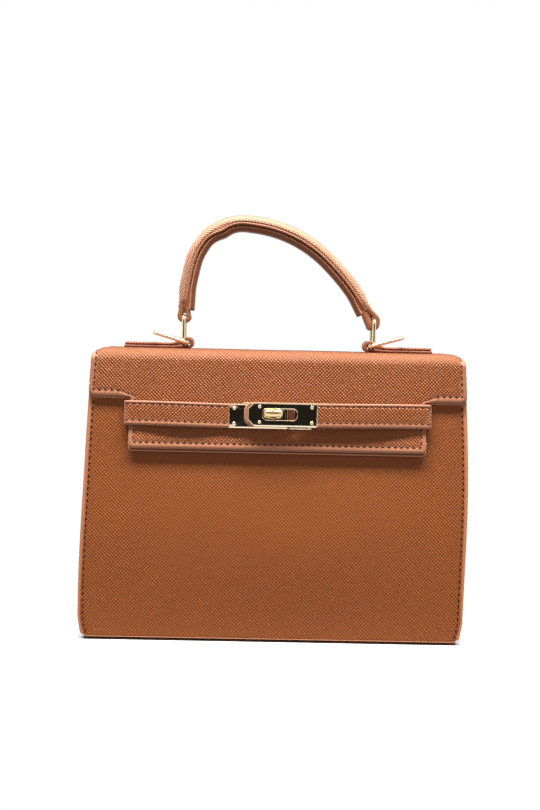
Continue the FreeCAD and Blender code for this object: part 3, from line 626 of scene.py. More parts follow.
def run_tree(name, spots, edges, lies, tree, settings):
    """The plain mesh that a Geometry Nodes tree makes from points and their edges, as a new object."""
    mesh = bpy.data.meshes.new(name + "_line")
    mesh.from_pydata([spot * MM for spot in spots], edges, [])
    attribute = mesh.attributes.new("lie", "FLOAT_VECTOR", "POINT")
    attribute.data.foreach_set("vector", [value for lie in lies for value in lie])
    source = new_object(name + "_line", mesh)
    modifier = source.modifiers.new("tree", "NODES")
    modifier.node_group = tree
    for item in tree.interface.items_tree:
        if item.in_out == "INPUT" and item.name in settings:
            modifier[item.identifier] = settings[item.name]
    bpy.context.view_layer.update()
    made = bpy.data.meshes.new_from_object(source.evaluated_get(bpy.context.evaluated_depsgraph_get()))
    bpy.data.objects.remove(source)
    made.name = name
    return new_object(name, made)


def seam_line(flat_points, fold_to, height, step=1.2):
    """A seam drawn on a flat blank and folded with it: (spot, outward) pairs in mm."""
    flat = []
    for start, end in zip(flat_points, flat_points[1:]):
        count = max(1, math.ceil((Vector(end) - Vector(start)).length / step))
        flat += [Vector(start).lerp(Vector(end), i / count) for i in range(count)]
    flat.append(Vector(flat_points[-1]))
    spots = []
    for point in flat:
        spot = fold_to(point.x, point.y, height)
        spots.append((spot, (fold_to(point.x, point.y, height + 0.5) - spot).normalized()))
    return spots


def stitch(name, seams, pitch=4.0, length=2.3, width=1.0):
    """One mesh of stitches along several seams."""
    edges, first = [], 0
    for seam in seams:
        edges += [(first + i, first + i + 1) for i in range(len(seam) - 1)]
        first += len(seam)
    spots, lies = zip(*[pair for seam in seams for pair in seam])
    sizes = {"Pitch": pitch * MM, "Length": length * MM, "Width": width * MM, "Thread": thread}
    item = run_tree(name, spots, edges, lies, STITCHES, sizes)
    print(f"{name}: {len(seams)} seams, {len(item.data.polygons)} faces")
    return item


# %% [markdown]
# ## The body: front, back, sides and base
# The body is soft leather over boards: the front leans back, swells a little below the tongue, and narrows
# towards the mouth. Five flat plates would look like a box, so each panel is a folded blank that follows
# one shared shape. The pleated sides are folded in along their middle, with narrow flanges that are sewn
# inside the front and back.

# %% Shape of the body
LEAN = radians(6.113)
FOOT, FLOOR_TOP, MOUTH, TOP = 50.0, 2.6, 180.0, 189.0
HALF_WIDTH = 125.0
SETTLE, FULLER, NARROWER, FOOT_PULL, SWELL, UNEVEN = 2.2, 1.9, 1.9, 3.0, 1.9, 0.35
UP = Vector((0, sin(LEAN), cos(LEAN)))
OUT = Vector((0, -cos(LEAN), sin(LEAN)))
CREST = (TOP - FLOOR_TOP) / cos(LEAN)
PANEL_TOP = (MOUTH - FLOOR_TOP) / cos(LEAN)
TONGUE_DROP = 66.0


def settle(up):
    """How far the soft body has sat down towards the left, most at its foot."""
    return -SETTLE * (1 - smooth_step(up, 10, 118))


def narrowed(x, up):
    """The bag's soft outline: fuller at half height, narrower at the mouth, and drawn in at the foot."""
    rise = clamp(up / 180.0)
    pull = FULLER * sin(pi * rise) - NARROWER * rise ** 1.4
    pull -= FOOT_PULL * max(0.0, 1 - up / 14.0) ** 2
    return x + settle(up) + pull * smooth_step(abs(x), 70, HALF_WIDTH) * math.copysign(1.0, x)


def swell(x, up):
    """How far the leather stands out between the base and the tongue."""
    rise = clamp(up / (CREST - TONGUE_DROP - 1))
    soft = UNEVEN * noise.noise(Vector((x * 0.018, up * 0.022, 4.0)))
    return (SWELL * (1 - (x / HALF_WIDTH) ** 2) + soft) * sin(pi * rise) ** 2


def on_slope(x, up, height):
    """A spot on the flat slope of the front: along, up from its foot, and out."""
    return Vector((x, -FOOT, FLOOR_TOP)) + UP * up + OUT * height


def on_front(x, up, height):
    """The same on the soft front, out from the leather's face."""
    return on_slope(narrowed(x, up), up, height + swell(x, up))


def on_back(x, up, height):
    """The same on the soft back, turned to face the other way."""
    spot = on_front(-x, up, height)
    return Vector((narrowed(x, up), -spot.y, spot.z))


# %% Front and back panels
PANEL_LEATHER, PANEL_LOW = 1.6, -1.0


def panel_rim(rim, point):
    """A rim that is narrow at the foot, where the panel meets the base."""
    return rim.lerp(point, 0.2 + 0.8 * smooth_step(rim.y, 0, 6))


panel_corners = box_corners(-HALF_WIDTH, HALF_WIDTH, PANEL_LOW, PANEL_TOP, 3, 1.2)
panel_across = spread(-120, 120, 10)
panel_upward = spread(1, 15, 2) + spread(22, 174, 8.5)
panel_row = HALF_WIDTH - STITCH_INSET
panel_sides = [[(side * panel_row, 3.0), (side * panel_row, PANEL_TOP - 3)] for side in (-1, 1)]
for name, fold_to in (("front", on_front), ("back", on_back)):
    steps = rim_steps(-PANEL_LEATHER, PANEL_LEATHER, 0.9)
    blank = cut(panel_corners, steps, panel_across, panel_upward, wide=panel_rim)
    panel = fold(name + "_leather", blank, fold_to, body_hide)
    dress(panel, "body", "tan_leather", name + "_panel")
    seams = [seam_line(line, fold_to, -0.12) for line in panel_sides]
    dress(stitch(name + "_stitches", seams, length=2.7, width=1.35), "body", "tan_leather")
    print(panel.name, len(panel.data.polygons), "faces")


# %% Bent lines
class Run:
    """A bent line in a plane, from (x, y, bend radius) corners, that can be followed by its length."""

    def __init__(self, corners, arc=8):
        spots = [Vector((x, y)) for x, y, radius in corners]
        points = [spots[0]]
        for i in range(1, len(spots) - 1):
            radius = corners[i][2]
            before = (spots[i] - spots[i - 1]).normalized()
            after = (spots[i + 1] - spots[i]).normalized()
            turn = math.atan2(before.cross(after), before.dot(after))
            if not radius or abs(turn) < 1e-4:
                points.append(spots[i])
                continue
            start = spots[i] - before * radius * math.tan(abs(turn) / 2)
            side = Vector((-before.y, before.x)) * math.copysign(radius, turn)
            for step in range(arc + 1):
                spin = Matrix.Rotation(turn * step / arc, 2)
                points.append(start + side - spin @ side)
        points.append(spots[-1])
        self.points = points
        self.lengths = [0.0]
        for first, second in zip(points, points[1:]):
            self.lengths.append(self.lengths[-1] + (second - first).length)
        ways = [(second - first).normalized() for first, second in zip(points, points[1:])]
        mixed = [ways[0]] + [(a + b).normalized() for a, b in zip(ways, ways[1:])] + [ways[-1]]
        self.sides = [Vector((-way.y, way.x)) for way in mixed]
        self.length = self.lengths[-1]

    def at(self, distance, height=0.0):
        """The spot at a distance along the line and a height to its left."""
        last = len(self.points) - 2
        i = next((k for k in range(last + 1) if distance <= self.lengths[k + 1]), last)
        span = self.lengths[i + 1] - self.lengths[i]
        share = (distance - self.lengths[i]) / span
        spot = self.points[i].lerp(self.points[i + 1], share)
        return spot + self.sides[i].lerp(self.sides[i + 1], clamp(share)).normalized() * height


# %% Pleated sides
GUSSET_LEATHER, FLANGE = 1.4, 7.0
PLEAT_LOW, PLEAT_HIGH = 2.0, 11.0
SIDE_WEB = HALF_WIDTH - FLANGE - GUSSET_LEATHER


def half_depth(z, walls):
    """Half the depth inside the panels at a height, less the walls laid against them."""
    return FOOT - (z - FLOOR_TOP) * math.tan(LEAN) - walls / cos(LEAN)


def pleat_depth(z):
    """How far a side is folded in along its middle at a height."""
    return PLEAT_LOW + (PLEAT_HIGH - PLEAT_LOW) * (z - FLOOR_TOP) / (MOUTH - FLOOR_TOP)


gusset_runs = {}


def gusset_run(z):
    """The bent section of a pleated side at a height, along x and y."""
    key = round(z, 2)
    if key not in gusset_runs:
        depth = half_depth(z, PANEL_LEATHER)
        gusset_runs[key] = Run([(HALF_WIDTH, -depth, 0), (SIDE_WEB, -depth, 2.6),
                                (SIDE_WEB - pleat_depth(z), 0, 9),
                                (SIDE_WEB, depth, 2.6), (HALF_WIDTH, depth, 0)])
    return gusset_runs[key]


def on_side(side):
    """The rule that folds a pleated side, on the left (-1) or the right (1)."""
    def fold_to(x, z, height):
        run = gusset_run(z)
        spot = run.at((x / GUSSET_FLAT + 0.5) * run.length, -height)
        return Vector((narrowed(spot.x * side, z), spot.y, z))
    return fold_to


GUSSET_FLAT = gusset_run(90.0).length
half_flat = GUSSET_FLAT / 2
gusset_corners = box_corners(-half_flat, half_flat, FLOOR_TOP + 0.1, MOUTH, 1)
for name, side in (("left", -1), ("right", 1)):
    steps = rim_steps(0, GUSSET_LEATHER, 0.8, puff=0.0, stitch=None)
    blank = cut(gusset_corners, steps, spread(-half_flat + 1.8, half_flat - 1.8, 1.6), spread(6, 176, 10))
    gusset = fold("side_leather_" + name, blank, on_side(side), body_hide)
    dress(gusset, "body", "tan_leather", "gusset_" + name)
print("pleated sides, flat width in mm:", round(GUSSET_FLAT, 1))

# %% Base
BASE_HALF_DEPTH = 49.9
base_corners = box_corners(-HALF_WIDTH + 2.4, HALF_WIDTH - 2.4, -BASE_HALF_DEPTH, BASE_HALF_DEPTH, 7)
base_steps = [(24, 0.0, 0.0), (16, 0.2, 0.0), (10, 0.7, 0.0), (5, 1.3, 0.0), (2, 1.75, 0.0), (0.6, 1.95, 0.0),
              (0.1, 2.05, 0.0), (0.0, 2.25, 0.0), (0.25, 2.5, 0.0), (0.9, 2.6, 0.0), (2.5, 2.6, 0.0)]
blank = cut(base_corners, base_steps, spread(-100, 100, 25), spread(-30, 30, 15))
base = fold("base_leather", blank, lambda x, y, height: Vector((x + settle(0), y, height)), body_hide)
dress(base, "body", "tan_leather", "base_panel")

# %% [markdown]
# ## The lining
# The lining is a thin cloth bag sewn in at the mouth. A solid box would do while the flap is closed, but
# the flap opens here, so it is one open sheet with a little slack, thickened to a cloth's half millimetre.

# %% Lining
BOARD, LINING_GAP = 1.2, 0.3
LINING_WALLS = PANEL_LEATHER + BOARD + LINING_GAP
LINING_LOW, LINING_TOP, LINING_DROP = 4.9, 180.6, 176
LINING_ROUND, CLOTH = 0.62, 0.0005


def lining_ring(z):
    """Points of the lining's section at a height, anticlockwise from the front right corner."""
    depth, pleat = half_depth(z, LINING_WALLS) - 0.5, pleat_depth(z)
    reach = SIDE_WEB - 0.9
    outline = rim_points([(reach, -depth, 3), (reach - pleat, 0, 9), (reach, depth, 3), (-reach, depth, 3),
                          (pleat - reach, 0, 9), (-reach, -depth, 3)], 0.0)
    ring = []
    for start, end in zip(outline, outline[1:] + outline[:1]):
        count = max(1, round((end - start).length / 14))
        ring += [start.lerp(end, i / count) for i in range(count)]
    return ring


blank = bmesh.new()
flat = blank.loops.layers.uv.new("flat")
levels = spread(LINING_TOP, LINING_LOW, 9)
rings = []
count = len(lining_ring(levels[0]))
for z in levels:
    hang = sin(pi * (z - LINING_LOW) / LINING_DROP)
    slack = [abs(0.5 * sin(i * 0.7 + z * 0.05) * hang) for i in range(count)]
    rings.append([blank.verts.new((narrowed(p.x, z) * (1 - s * 0.004), p.y * (1 - s * 0.012), z))
                  for p, s in zip(lining_ring(z), slack)])
join_rings(blank, rings, flat, lambda k, i: (i * LINING_ROUND / count, rings[k][0].co.z * MM))
floor_face = blank.faces.new(rings[-1])
for loop in floor_face.loops:
    loop[flat].uv = loop.vert.co.xy * MM
for vert in blank.verts:
    vert.co *= MM
lining = make_object("lining_cloth", blank, twill, inward=True)
thicken = lining.modifiers.new("cloth", "SOLIDIFY")
thicken.thickness, thicken.offset = CLOTH, -1.0
dress(lining, "body", "lining_cloth", "lining")
print("lining points round the mouth:", count)

# %% [markdown]
# ## The flap
# The flap is one hide: sewn down the back, over the mouth, round a soft roll and down the front, where it
# is cut into two shoulders and a long tongue. It has to open, and its front piece spans the flap's two
# bodies, as a strip at the back spans the body and the flap; here both keep fixed shapes and are given no
# body. Their seam lies on top, behind the handle.

# %% Shape of the flap
FLAP_ROLL, FLAP_LEATHER = 9.0, 1.8
FLAP_BACKING_LOW, FLAP_LOW, FLAP_FACE = 0.3, 1.1, 2.9
ROLL_CENTRE = Vector((0, -31.0 + (FLAP_ROLL - FLAP_FACE) / cos(LEAN), MOUTH))
ROLL_UP = (ROLL_CENTRE - Vector((0, -FOOT, FLOOR_TOP))).dot(UP)
ROLL_ARC = FLAP_ROLL * (pi / 2 - LEAN)
SEAM_Y = 14.0
FLAP_END = ROLL_UP + ROLL_ARC + SEAM_Y - ROLL_CENTRE.y
TONGUE, SHOULDER = CREST - TONGUE_DROP, CREST - 32.5
HALF_TONGUE = 97.25
LOCK_UP = CREST - 42.4
SLOT_SINK = -0.7
SLOT_UP = LOCK_UP + SLOT_SINK
DROOP, EASE, LOOSE, LOOSE_RISE = 4.6, 0.3, 1.3, 16


def droop(x):
    """How far the ends of the roll hang down past the stiff mouth."""
    return DROOP * smooth_step(abs(x), 115.5, 127.5) ** 1.3


def ease(x, up):
    """Soft unevenness of the hide, a fraction of a millimetre."""
    return EASE * noise.noise(Vector((x * 0.02, up * 0.03, 9.0)))


def on_flap(x, up, height):
    """A spot of the flap: up the front slope, round the roll, then back over the mouth."""
    across = narrowed(x, up)
    if up <= ROLL_UP:
        loose = LOOSE * smooth_step(TONGUE + LOOSE_RISE - up, 0, LOOSE_RISE)
        return on_slope(across, up, height + loose)
    angle = min(up - ROLL_UP, ROLL_ARC) / FLAP_ROLL
    way = OUT * cos(angle) + UP * sin(angle)
    hang = (droop(x) - ease(x, up)) * smooth_step(angle, 0.0, 1.2)
    spot = ROLL_CENTRE + way * (FLAP_ROLL - FLAP_FACE + height - hang)
    back = max(0.0, up - ROLL_UP - ROLL_ARC)
    return Vector((across, spot.y + back, spot.z))


def flap_outline(tongue, shoulder):
    """The flap's outline, with extra points where the shoulders' rims run out at the notches."""
    right = [(HALF_TONGUE, tongue, 3), (HALF_TONGUE, shoulder, 1.6), (HALF_TONGUE + 4, shoulder, 0),
             (HALF_TONGUE + 9, shoulder, 0), (HALF_WIDTH, shoulder, 4), (HALF_WIDTH, FLAP_END, 0.8)]
    return right + [(-x, up, radius) for x, up, radius in reversed(right)]


SEAM_RIM, SHOULDER_RIM, TONGUE_RIM = 0.03, 1.35, 1.25


def flap_rim(rim, point):
    """Rims wider at the lower edges, run out at each notch, and next to nothing at the seam on top."""
    if point.y > FLAP_END - 8:
        return Vector((point.x, FLAP_END - SEAM_RIM * (FLAP_END - point.y)))
    if SHOULDER - 2 < point.y < SHOULDER + 9:
        share = SHOULDER_RIM - 1.0 * (1 - smooth_step(abs(rim.x), HALF_TONGUE - 0.5, HALF_TONGUE + 9))
        return Vector((point.x, SHOULDER + share * (point.y - SHOULDER)))
    return Vector((point.x, TONGUE + TONGUE_RIM * (point.y - TONGUE)))


flap_corners, backing_corners = flap_outline(TONGUE, SHOULDER), flap_outline(TONGUE - 1.7, SHOULDER - 0.9)
side_cuts = spread(-124, -116, 1.6) + spread(-106, 106, 10) + spread(116, 124, 1.6)
roll_cuts = spread(TONGUE + 2, ROLL_UP - 2, 5) + spread(ROLL_UP - 1, ROLL_UP + ROLL_ARC + 1, 0.8)
flap_cuts = roll_cuts + spread(ROLL_UP + ROLL_ARC + 4, FLAP_END - 4, 8)
lock_window = (-11.8, 14.0, SLOT_UP - 5.8, SLOT_UP + 5.8)

# %% Flap leather, backing and stitches
steps = rim_steps(FLAP_LOW, FLAP_LEATHER, 1.25)
blank = cut(flap_corners, steps, side_cuts, flap_cuts, lock_window, flap_rim)
flap = fold("flap_leather", blank, on_flap, tan_hide)
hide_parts("flap_front", "flap_top")
steps = rim_steps(FLAP_BACKING_LOW, 0.75, 0.45, puff=0.0, stitch=None)
blank = cut(backing_corners, steps, side_cuts, flap_cuts, lock_window)
# The backing's pale rim is a painted highlight.
backing = fold("flap_backing", blank, on_flap, inner_hide)
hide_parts("flap_front_backing", "flap_top_backing")
far, near = HALF_WIDTH - STITCH_INSET, HALF_TONGUE - STITCH_INSET
low_row, tongue_row = SHOULDER + SHOULDER_RIM * STITCH_INSET, TONGUE + TONGUE_RIM * STITCH_INSET
flap_lines = [[(side * (HALF_TONGUE + 8), low_row), (side * far, low_row), (side * far, FLAP_END)]
              for side in (-1, 1)]
flap_lines.append([(-near, SHOULDER - 2), (-near, tongue_row), (near, tongue_row), (near, SHOULDER - 2)])
flap_stitches = stitch("flap_stitches", [seam_line(line, on_flap, FLAP_FACE - 0.12) for line in flap_lines])
for piece in (flap, backing, flap_stitches):
    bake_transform(piece)
print("flap faces:", len(flap.data.polygons))

# %% Strip down the back
REAR_CENTRE = Vector((0, 31.0 - (FLAP_ROLL - FLAP_LEATHER) / cos(LEAN), MOUTH))
REAR_FLAT = REAR_CENTRE.y - SEAM_Y
REAR_END = FLAP_END + REAR_FLAT + ROLL_ARC + 24.0
BACK_UP = Vector((0, -sin(LEAN), cos(LEAN)))


def on_rear(x, flat, height):
    """A spot of the rear strip: back from the seam, round the rear roll, then down the back panel."""
    up, along = ROLL_UP + ROLL_ARC + 5, flat - FLAP_END
    angle = clamp((along - REAR_FLAT) / ROLL_ARC) * (pi / 2 - LEAN)
    way = Vector((0, sin(angle), cos(angle)))
    hang = (droop(x) - ease(x, up)) * smooth_step(pi / 2 - LEAN - angle, 0.0, 1.2)
    spot = REAR_CENTRE + way * (FLAP_ROLL - FLAP_LEATHER + height - hang)
    spot -= BACK_UP * max(0.0, along - REAR_FLAT - ROLL_ARC)
    return Vector((narrowed(x, up), spot.y + min(0.0, along - REAR_FLAT), spot.z))


def rear_rim(rim, point):
    """The same rim all round, but next to nothing at the seam on top."""
    if point.y > FLAP_END + 9:
        return point
    return Vector((point.x, FLAP_END + SEAM_RIM * (point.y - FLAP_END)))


rear_corners = box_corners(-HALF_WIDTH, HALF_WIDTH, FLAP_END, REAR_END, 0.8, 4)
rear_cuts = spread(5, REAR_FLAT - 1, 3) + spread(REAR_FLAT - 0.5, REAR_FLAT + ROLL_ARC + 0.5, 0.8)
rear_cuts += spread(REAR_FLAT + ROLL_ARC + 4, REAR_END - FLAP_END - 5, 5)
rear_cuts = [FLAP_END + spot for spot in rear_cuts]
blank = cut(rear_corners, rim_steps(0.0, FLAP_LEATHER, 1.25), side_cuts, rear_cuts, wide=rear_rim)
rear = fold("rear_strip", blank, on_rear, tan_hide)
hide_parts("flap_anchor")
rear_row = REAR_END - STITCH_INSET
rear_seam = [(-far, FLAP_END), (-far, rear_row), (far, rear_row), (far, FLAP_END)]
rear_stitches = stitch("rear_stitches", [seam_line(rear_seam, on_rear, FLAP_LEATHER - 0.12)])
for piece in (rear, rear_stitches):
    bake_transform(piece)

# %% [markdown]
# ## The straps
# Each strap folds round one edge of the tongue and runs to the lock, where the left one goes under the
# right one. They are cut like the other leather, then led along a bent line: down the fold, over the
# tongue, and flat under the plate.

# %% Straps
STRAP_HALF, STRAP_LEATHER, STRAP_STITCH = 8.0, 1.5, 2.7
STRAP_FOLD, STRAP_NEAR = 99.0, 3.2
LEFT_STRAP_LOW, RIGHT_STRAP_LOW = 3.9, 6.4
LEFT_SAG = 1.2
STRAP_HOLE = -5.7, 4.3
BEND_X, BOW_X = 34.0, 26


def on_lock(x, up, height):
    """A spot on the flat lock: along, up from its middle, and out from the front panel."""
    return on_slope(x, LOCK_UP + up, height)


def strap_rim(rim, point):
    """Narrow along the upper edge and wide along the lower one."""
    return rim.lerp(point, 1.0 - 0.2 * rim.y / STRAP_HALF)


def make_strap(name, side, tip, low, window, bare, bow, lift, sag=0.0):
    """A strap from its tip at the lock to its fold, with a window and with stitches up to its plate."""
    inner = side * tip
    corners = [(inner, low, 0), (BEND_X, low, 45), (STRAP_FOLD, STRAP_NEAR, 1.3), (STRAP_FOLD, 0.55, 0)]
    run = Run(corners, arc=10)

    def fold_to(along, across, height):
        spot = run.at(along, height)
        rise = (lift + sag) * smooth_step(spot.x, 30, 96) - sag
        arch = bow * sin(pi * clamp((spot.x - BOW_X) / (STRAP_FOLD - BOW_X))) ** 2
        return on_lock(side * spot.x, across + rise, spot.y + arch)

    length = run.length
    corners = [(0, -STRAP_HALF, 5.5), (length, -STRAP_HALF, 0.4),
               (length, STRAP_HALF, 0.4), (0, STRAP_HALF, 5.5)]
    sides = sorted(side * x - inner for x in window)
    hole = (*sides, STRAP_HOLE[0] + sag, STRAP_HOLE[1] + sag)
    cuts = spread(6, length - 12, 5) + spread(length - 8, length - 0.6, 0.6)
    steps = rim_steps(0, STRAP_LEATHER, 0.95, puff=0.12, groove=0.18, stitch=STRAP_STITCH)
    strap = fold(name + "_leather", cut(corners, steps, cuts, (), hole, strap_rim), fold_to, tan_hide)
    start, stop = side * bare - inner + 2.5, length - 3.0
    rows = (STRAP_HALF - 0.8 * STRAP_STITCH, 1.2 * STRAP_STITCH - STRAP_HALF)
    seams = [seam_line([(start, row), (stop, row)], fold_to, STRAP_LEATHER - 0.1) for row in rows]
    dress(strap, name, "tan_leather", name)
    dress(stitch(name + "_leather_stitches", seams, width=0.55), name, "tan_leather")
    print(name, "length in mm:", round(length, 1))


make_strap("strap_left", -1, tip=11.0, low=LEFT_STRAP_LOW, window=(-11.6, 5.8), bare=-32.2,
           bow=1.7, lift=-0.4, sag=LEFT_SAG)
make_strap("strap_right", 1, tip=-22.1, low=RIGHT_STRAP_LOW, window=(-11.6, 13.8), bare=25.5,
           bow=1.0, lift=0.8)

# %% [markdown]
# ## The turn lock
# Three stamped plates with slots lie over each other, and the knob stands through all of them. The plates
# are mirrors with a wide bevel, and the bevel is what draws their bright outline, so it is modelled and not
# painted. Geometry Nodes set a domed rivet head on each rivet's place.

# %% Plates
PLATE, BEVEL = 0.7, 0.6


def make_plate(name, body, corners, slot, low):
    """A stamped plate with a slot, bevelled outside and round the slot."""
    top = low + PLATE
    profile = [(0.0, low), (0.0, top - BEVEL * 0.75), (BEVEL * 0.3, top - BEVEL * 0.4),
               (BEVEL * 0.62, top - 0.06), (BEVEL, top)]
    piece = bmesh.new()
    sets = []
    for outline, way in ((corners, 1), (slot, -1)):
        rings = [[piece.verts.new((*p, height)) for p in rim_points(outline, way * inset, 5)]
                 for inset, height in profile]
        join_rings(piece, rings)
        sets.append(rings)
    for level in (0, -1):
        rims = [rings[level] for rings in sets]
        edges = [piece.edges.get((ring[i], ring[i - 1])) for ring in rims for i in range(len(ring))]
        bmesh.ops.triangle_fill(piece, use_beauty=True, edges=edges)
    plate = fold(name + "_metal", piece, on_lock, plate_gold)
    plate.data.set_sharp_from_angle(angle=radians(24))
    dress(plate, body, "gold_metal", name)


PLATE_HALF, CHAMFER = 7.8, 4.0
LEFT_PLATE_LOW, RIGHT_PLATE_LOW = LEFT_STRAP_LOW + STRAP_LEATHER, RIGHT_STRAP_LOW + STRAP_LEATHER
RIGHT_TIP, RIGHT_END = -19.7, 25.5
flap_slot = box_corners(-11.6, 13.8, SLOT_SINK - 5.6, SLOT_SINK + 5.6, 5.2)
left_slot = box_corners(-10.2, 4.4, SLOT_SINK - 4.9, SLOT_SINK + 4.9, 4.6)
right_slot = box_corners(-10.2, 12.4, SLOT_SINK - 2.5, SLOT_SINK + 4.2, 2.9)
left_corners = box_corners(-32.2, 6.4, -PLATE_HALF - LEFT_SAG, PLATE_HALF - LEFT_SAG, 0.8)
right_corners = [
    (RIGHT_TIP + CHAMFER, -PLATE_HALF, 0.3), (RIGHT_END, -PLATE_HALF, 0.8), (RIGHT_END, PLATE_HALF, 0.8),
    (RIGHT_TIP + CHAMFER, PLATE_HALF, 0.3), (RIGHT_TIP, PLATE_HALF - CHAMFER, 0.3),
    (RIGHT_TIP, CHAMFER - PLATE_HALF, 0.3),
]
make_plate("flap_plate", "flap_front", box_corners(-23.0, 22.4, -9.3, 7.9, 0.8), flap_slot, FLAP_FACE)
make_plate("strap_left_plate", "strap_left", left_corners, left_slot, LEFT_PLATE_LOW)
make_plate("strap_right_plate", "strap_right", right_corners, right_slot, RIGHT_PLATE_LOW)

# %% Rivets
RIVET_RISE, RIVET_RADIUS, RIVET_DOME = 5.0, 1.15, 0.7
RIVETS, given = new_tree("rivets", "Places", ("Radius", "Dome"), "Metal")
square = add(RIVETS, "FunctionNodeAlignRotationToVector", {"axis": "Z"}, Vector=outward_lie(RIVETS))
lay_lumps(RIVETS, given["Places"], square, {"Segments": 16, "Rings": 8, "Radius": 1.0},
          (given["Radius"], given["Radius"], given["Dome"]), given["Metal"])


def make_rivets(name, body, places, height, sag=0.0):
    """One mesh of rivet heads in pairs above and below the middle of a plate."""
    spots = [on_lock(x, up - sag, height) for x in places for up in (-RIVET_RISE, RIVET_RISE)]
    sizes = {"Radius": RIVET_RADIUS * MM, "Dome": RIVET_DOME * MM, "Metal": ring_gold}
    heads = run_tree(name + "_heads", spots, [], [OUT] * len(spots), RIVETS, sizes)
    dress(heads, body, "gold_metal", name)


make_rivets("strap_left_rivets", "strap_left", [-28.6], LEFT_PLATE_LOW + PLATE, LEFT_SAG)
make_rivets("strap_right_rivets", "strap_right", [-12.1, 21.9], RIGHT_PLATE_LOW + PLATE)

# %% [markdown]
# ## The knob
# The knob is turned and polished: a short barrel with rounded ends across a neck, on a spindle that goes
# down into the lock's base. A row of rings along the barrel, drawn in at the ends, with a small flat in
# front and a groove below it, gives its lobes. The flat mirrors the dark card as the plates do.

# %% Knob
KNOB_X, KNOB_UP, KNOB_OUT = -3.2, 0.9, 11.8
KNOB_RADIUS, KNOB_HALF, KNOB_SIDES, STEM_SIDES = 2.55, 6.1, 40, 28
FLAT_AT, FLAT_WIDE = 0.12, 0.42
GROOVE_AT, GROOVE_WIDE, GROOVE_DEEP = radians(318), 0.24, 0.08
STEM = [(1.5, 0.3), (1.5, 3.4), (2.0, 3.5), (2.2, 3.7), (2.2, 8.9), (2.6, 9.6), (2.6, 11.0)]


def close_rings(piece, rings):
    """Faces between rings of points, and one at each end."""
    rings = [[piece.verts.new(spot) for spot in ring] for ring in rings]
    join_rings(piece, rings)
    piece.faces.new(rings[0])
    piece.faces.new(rings[-1])


def barrel_ring(share):
    """Points round the barrel at a share of its half length, from its left end (-1) to its right end (1)."""
    past = max(0.0, abs(share) - 0.5) / 0.5
    radius = KNOB_RADIUS * (0.45 + 0.55 * math.sqrt(1 - past ** 2))
    groove = GROOVE_DEEP * max(0.0, 1 - (share / 0.72) ** 2)
    flat = 0.05 + FLAT_WIDE * max(0.0, 1 - (share / 0.62) ** 2)
    ring = []
    for step in range(KNOB_SIDES):
        angle = 2 * pi * step / KNOB_SIDES
        dent = math.exp(-((angle - GROOVE_AT) / GROOVE_WIDE) ** 2) * groove
        turn = (angle - FLAT_AT + pi) % (2 * pi) - pi
        reach = radius * (cos(flat) / cos(turn) if abs(turn) < flat else 1 - dent)
        rise, out = reach * sin(angle), reach * cos(angle)
        ring.append((KNOB_X + KNOB_HALF * share, KNOB_UP + rise, KNOB_OUT + out))
    return ring


barrel = bmesh.new()
half_shares = [1.0, 0.985, 0.95, 0.89, 0.8, 0.7, 0.58, 0.44, 0.22]
close_rings(barrel, [barrel_ring(share) for share in [-s for s in half_shares] + [0.0] + half_shares[::-1]])
stem_angles = [2 * pi * step / STEM_SIDES for step in range(STEM_SIDES)]
close_rings(barrel, [[(KNOB_X + radius * cos(a), radius * sin(a), height) for a in stem_angles]
                     for radius, height in STEM])
knob = fold("knob", barrel, on_lock, knob_gold)
knob.data.set_sharp_from_angle(angle=radians(50))
dress(knob, "turn_knob", "gold_metal", "turn_knob")
print("knob faces:", len(knob.data.polygons))

# %% [markdown]
# ## The chapes
# A chape is a strip of leather folded in two round the bars of its rings and sewn down on the flap. Its two
# layers lie on each other with a dark line between. It is one long blank led round one bent line, so the
# fold is the same leather.

# %% Chapes
CHAPE_HALF, CHAPE_LEATHER, CHAPE_STITCH, CHAPE_SEWN = 6.5, 1.75, 2.2, 27.0
SNUG = ((1.24, 31.5, 36), (-1.14, 36, 39.5), (0.22, 39.5, 42), (-0.42, 51, 54), (0.5, 54, 57), (-0.4, 61, 66))
chape_run = Run([(104.0, 3.75, 0), (71.8, 3.75, 7), (64.0, 7.8, 5), (57.45, 7.8, 3.89), (57.45, 0.05, 3.85),
                 (104.6, 0.05, 0)], arc=10)


def on_chape(side):
    """The rule that folds a chape, left (-1) or right (1). SNUG thickens it where it closes on its bars."""
    def fold_to(along, across, height):
        snug = 1.1 + sum(share * smooth_step(along, start, end) for share, start, end in SNUG)
        spot = chape_run.at(along, (CHAPE_LEATHER - height) * snug)
        return Vector((side * spot.x, across, TOP + spot.y))
    return fold_to


chape_corners = box_corners(0, chape_run.length, -CHAPE_HALF, CHAPE_HALF, 1.6)
chape_cuts = spread(3, 26, 5) + spread(27, 62, 0.8) + spread(65, chape_run.length - 4, 6)
chape_row = CHAPE_HALF - CHAPE_STITCH
chape_seam = [(CHAPE_SEWN, -chape_row), (CHAPE_STITCH, -chape_row),
              (CHAPE_STITCH, chape_row), (CHAPE_SEWN, chape_row)]
for name, side in (("left", -1), ("right", 1)):
    fold_to = on_chape(side)
    steps = rim_steps(0, CHAPE_LEATHER, 0.8, puff=0.06, groove=0.15, stitch=CHAPE_STITCH)
    chape = fold("chape_leather_" + name, cut(chape_corners, steps, chape_cuts), fold_to, chape_hide)
    dress(chape, "flap_top", "tan_leather", "chape_" + name)
    seam = seam_line(chape_seam, fold_to, CHAPE_LEATHER - 0.1)
    dress(stitch("chape_stitches_" + name, [seam], width=0.5), "flap_top", "tan_leather")
print("chape strip in mm:", round(chape_run.length, 1), "by", 2 * CHAPE_HALF)

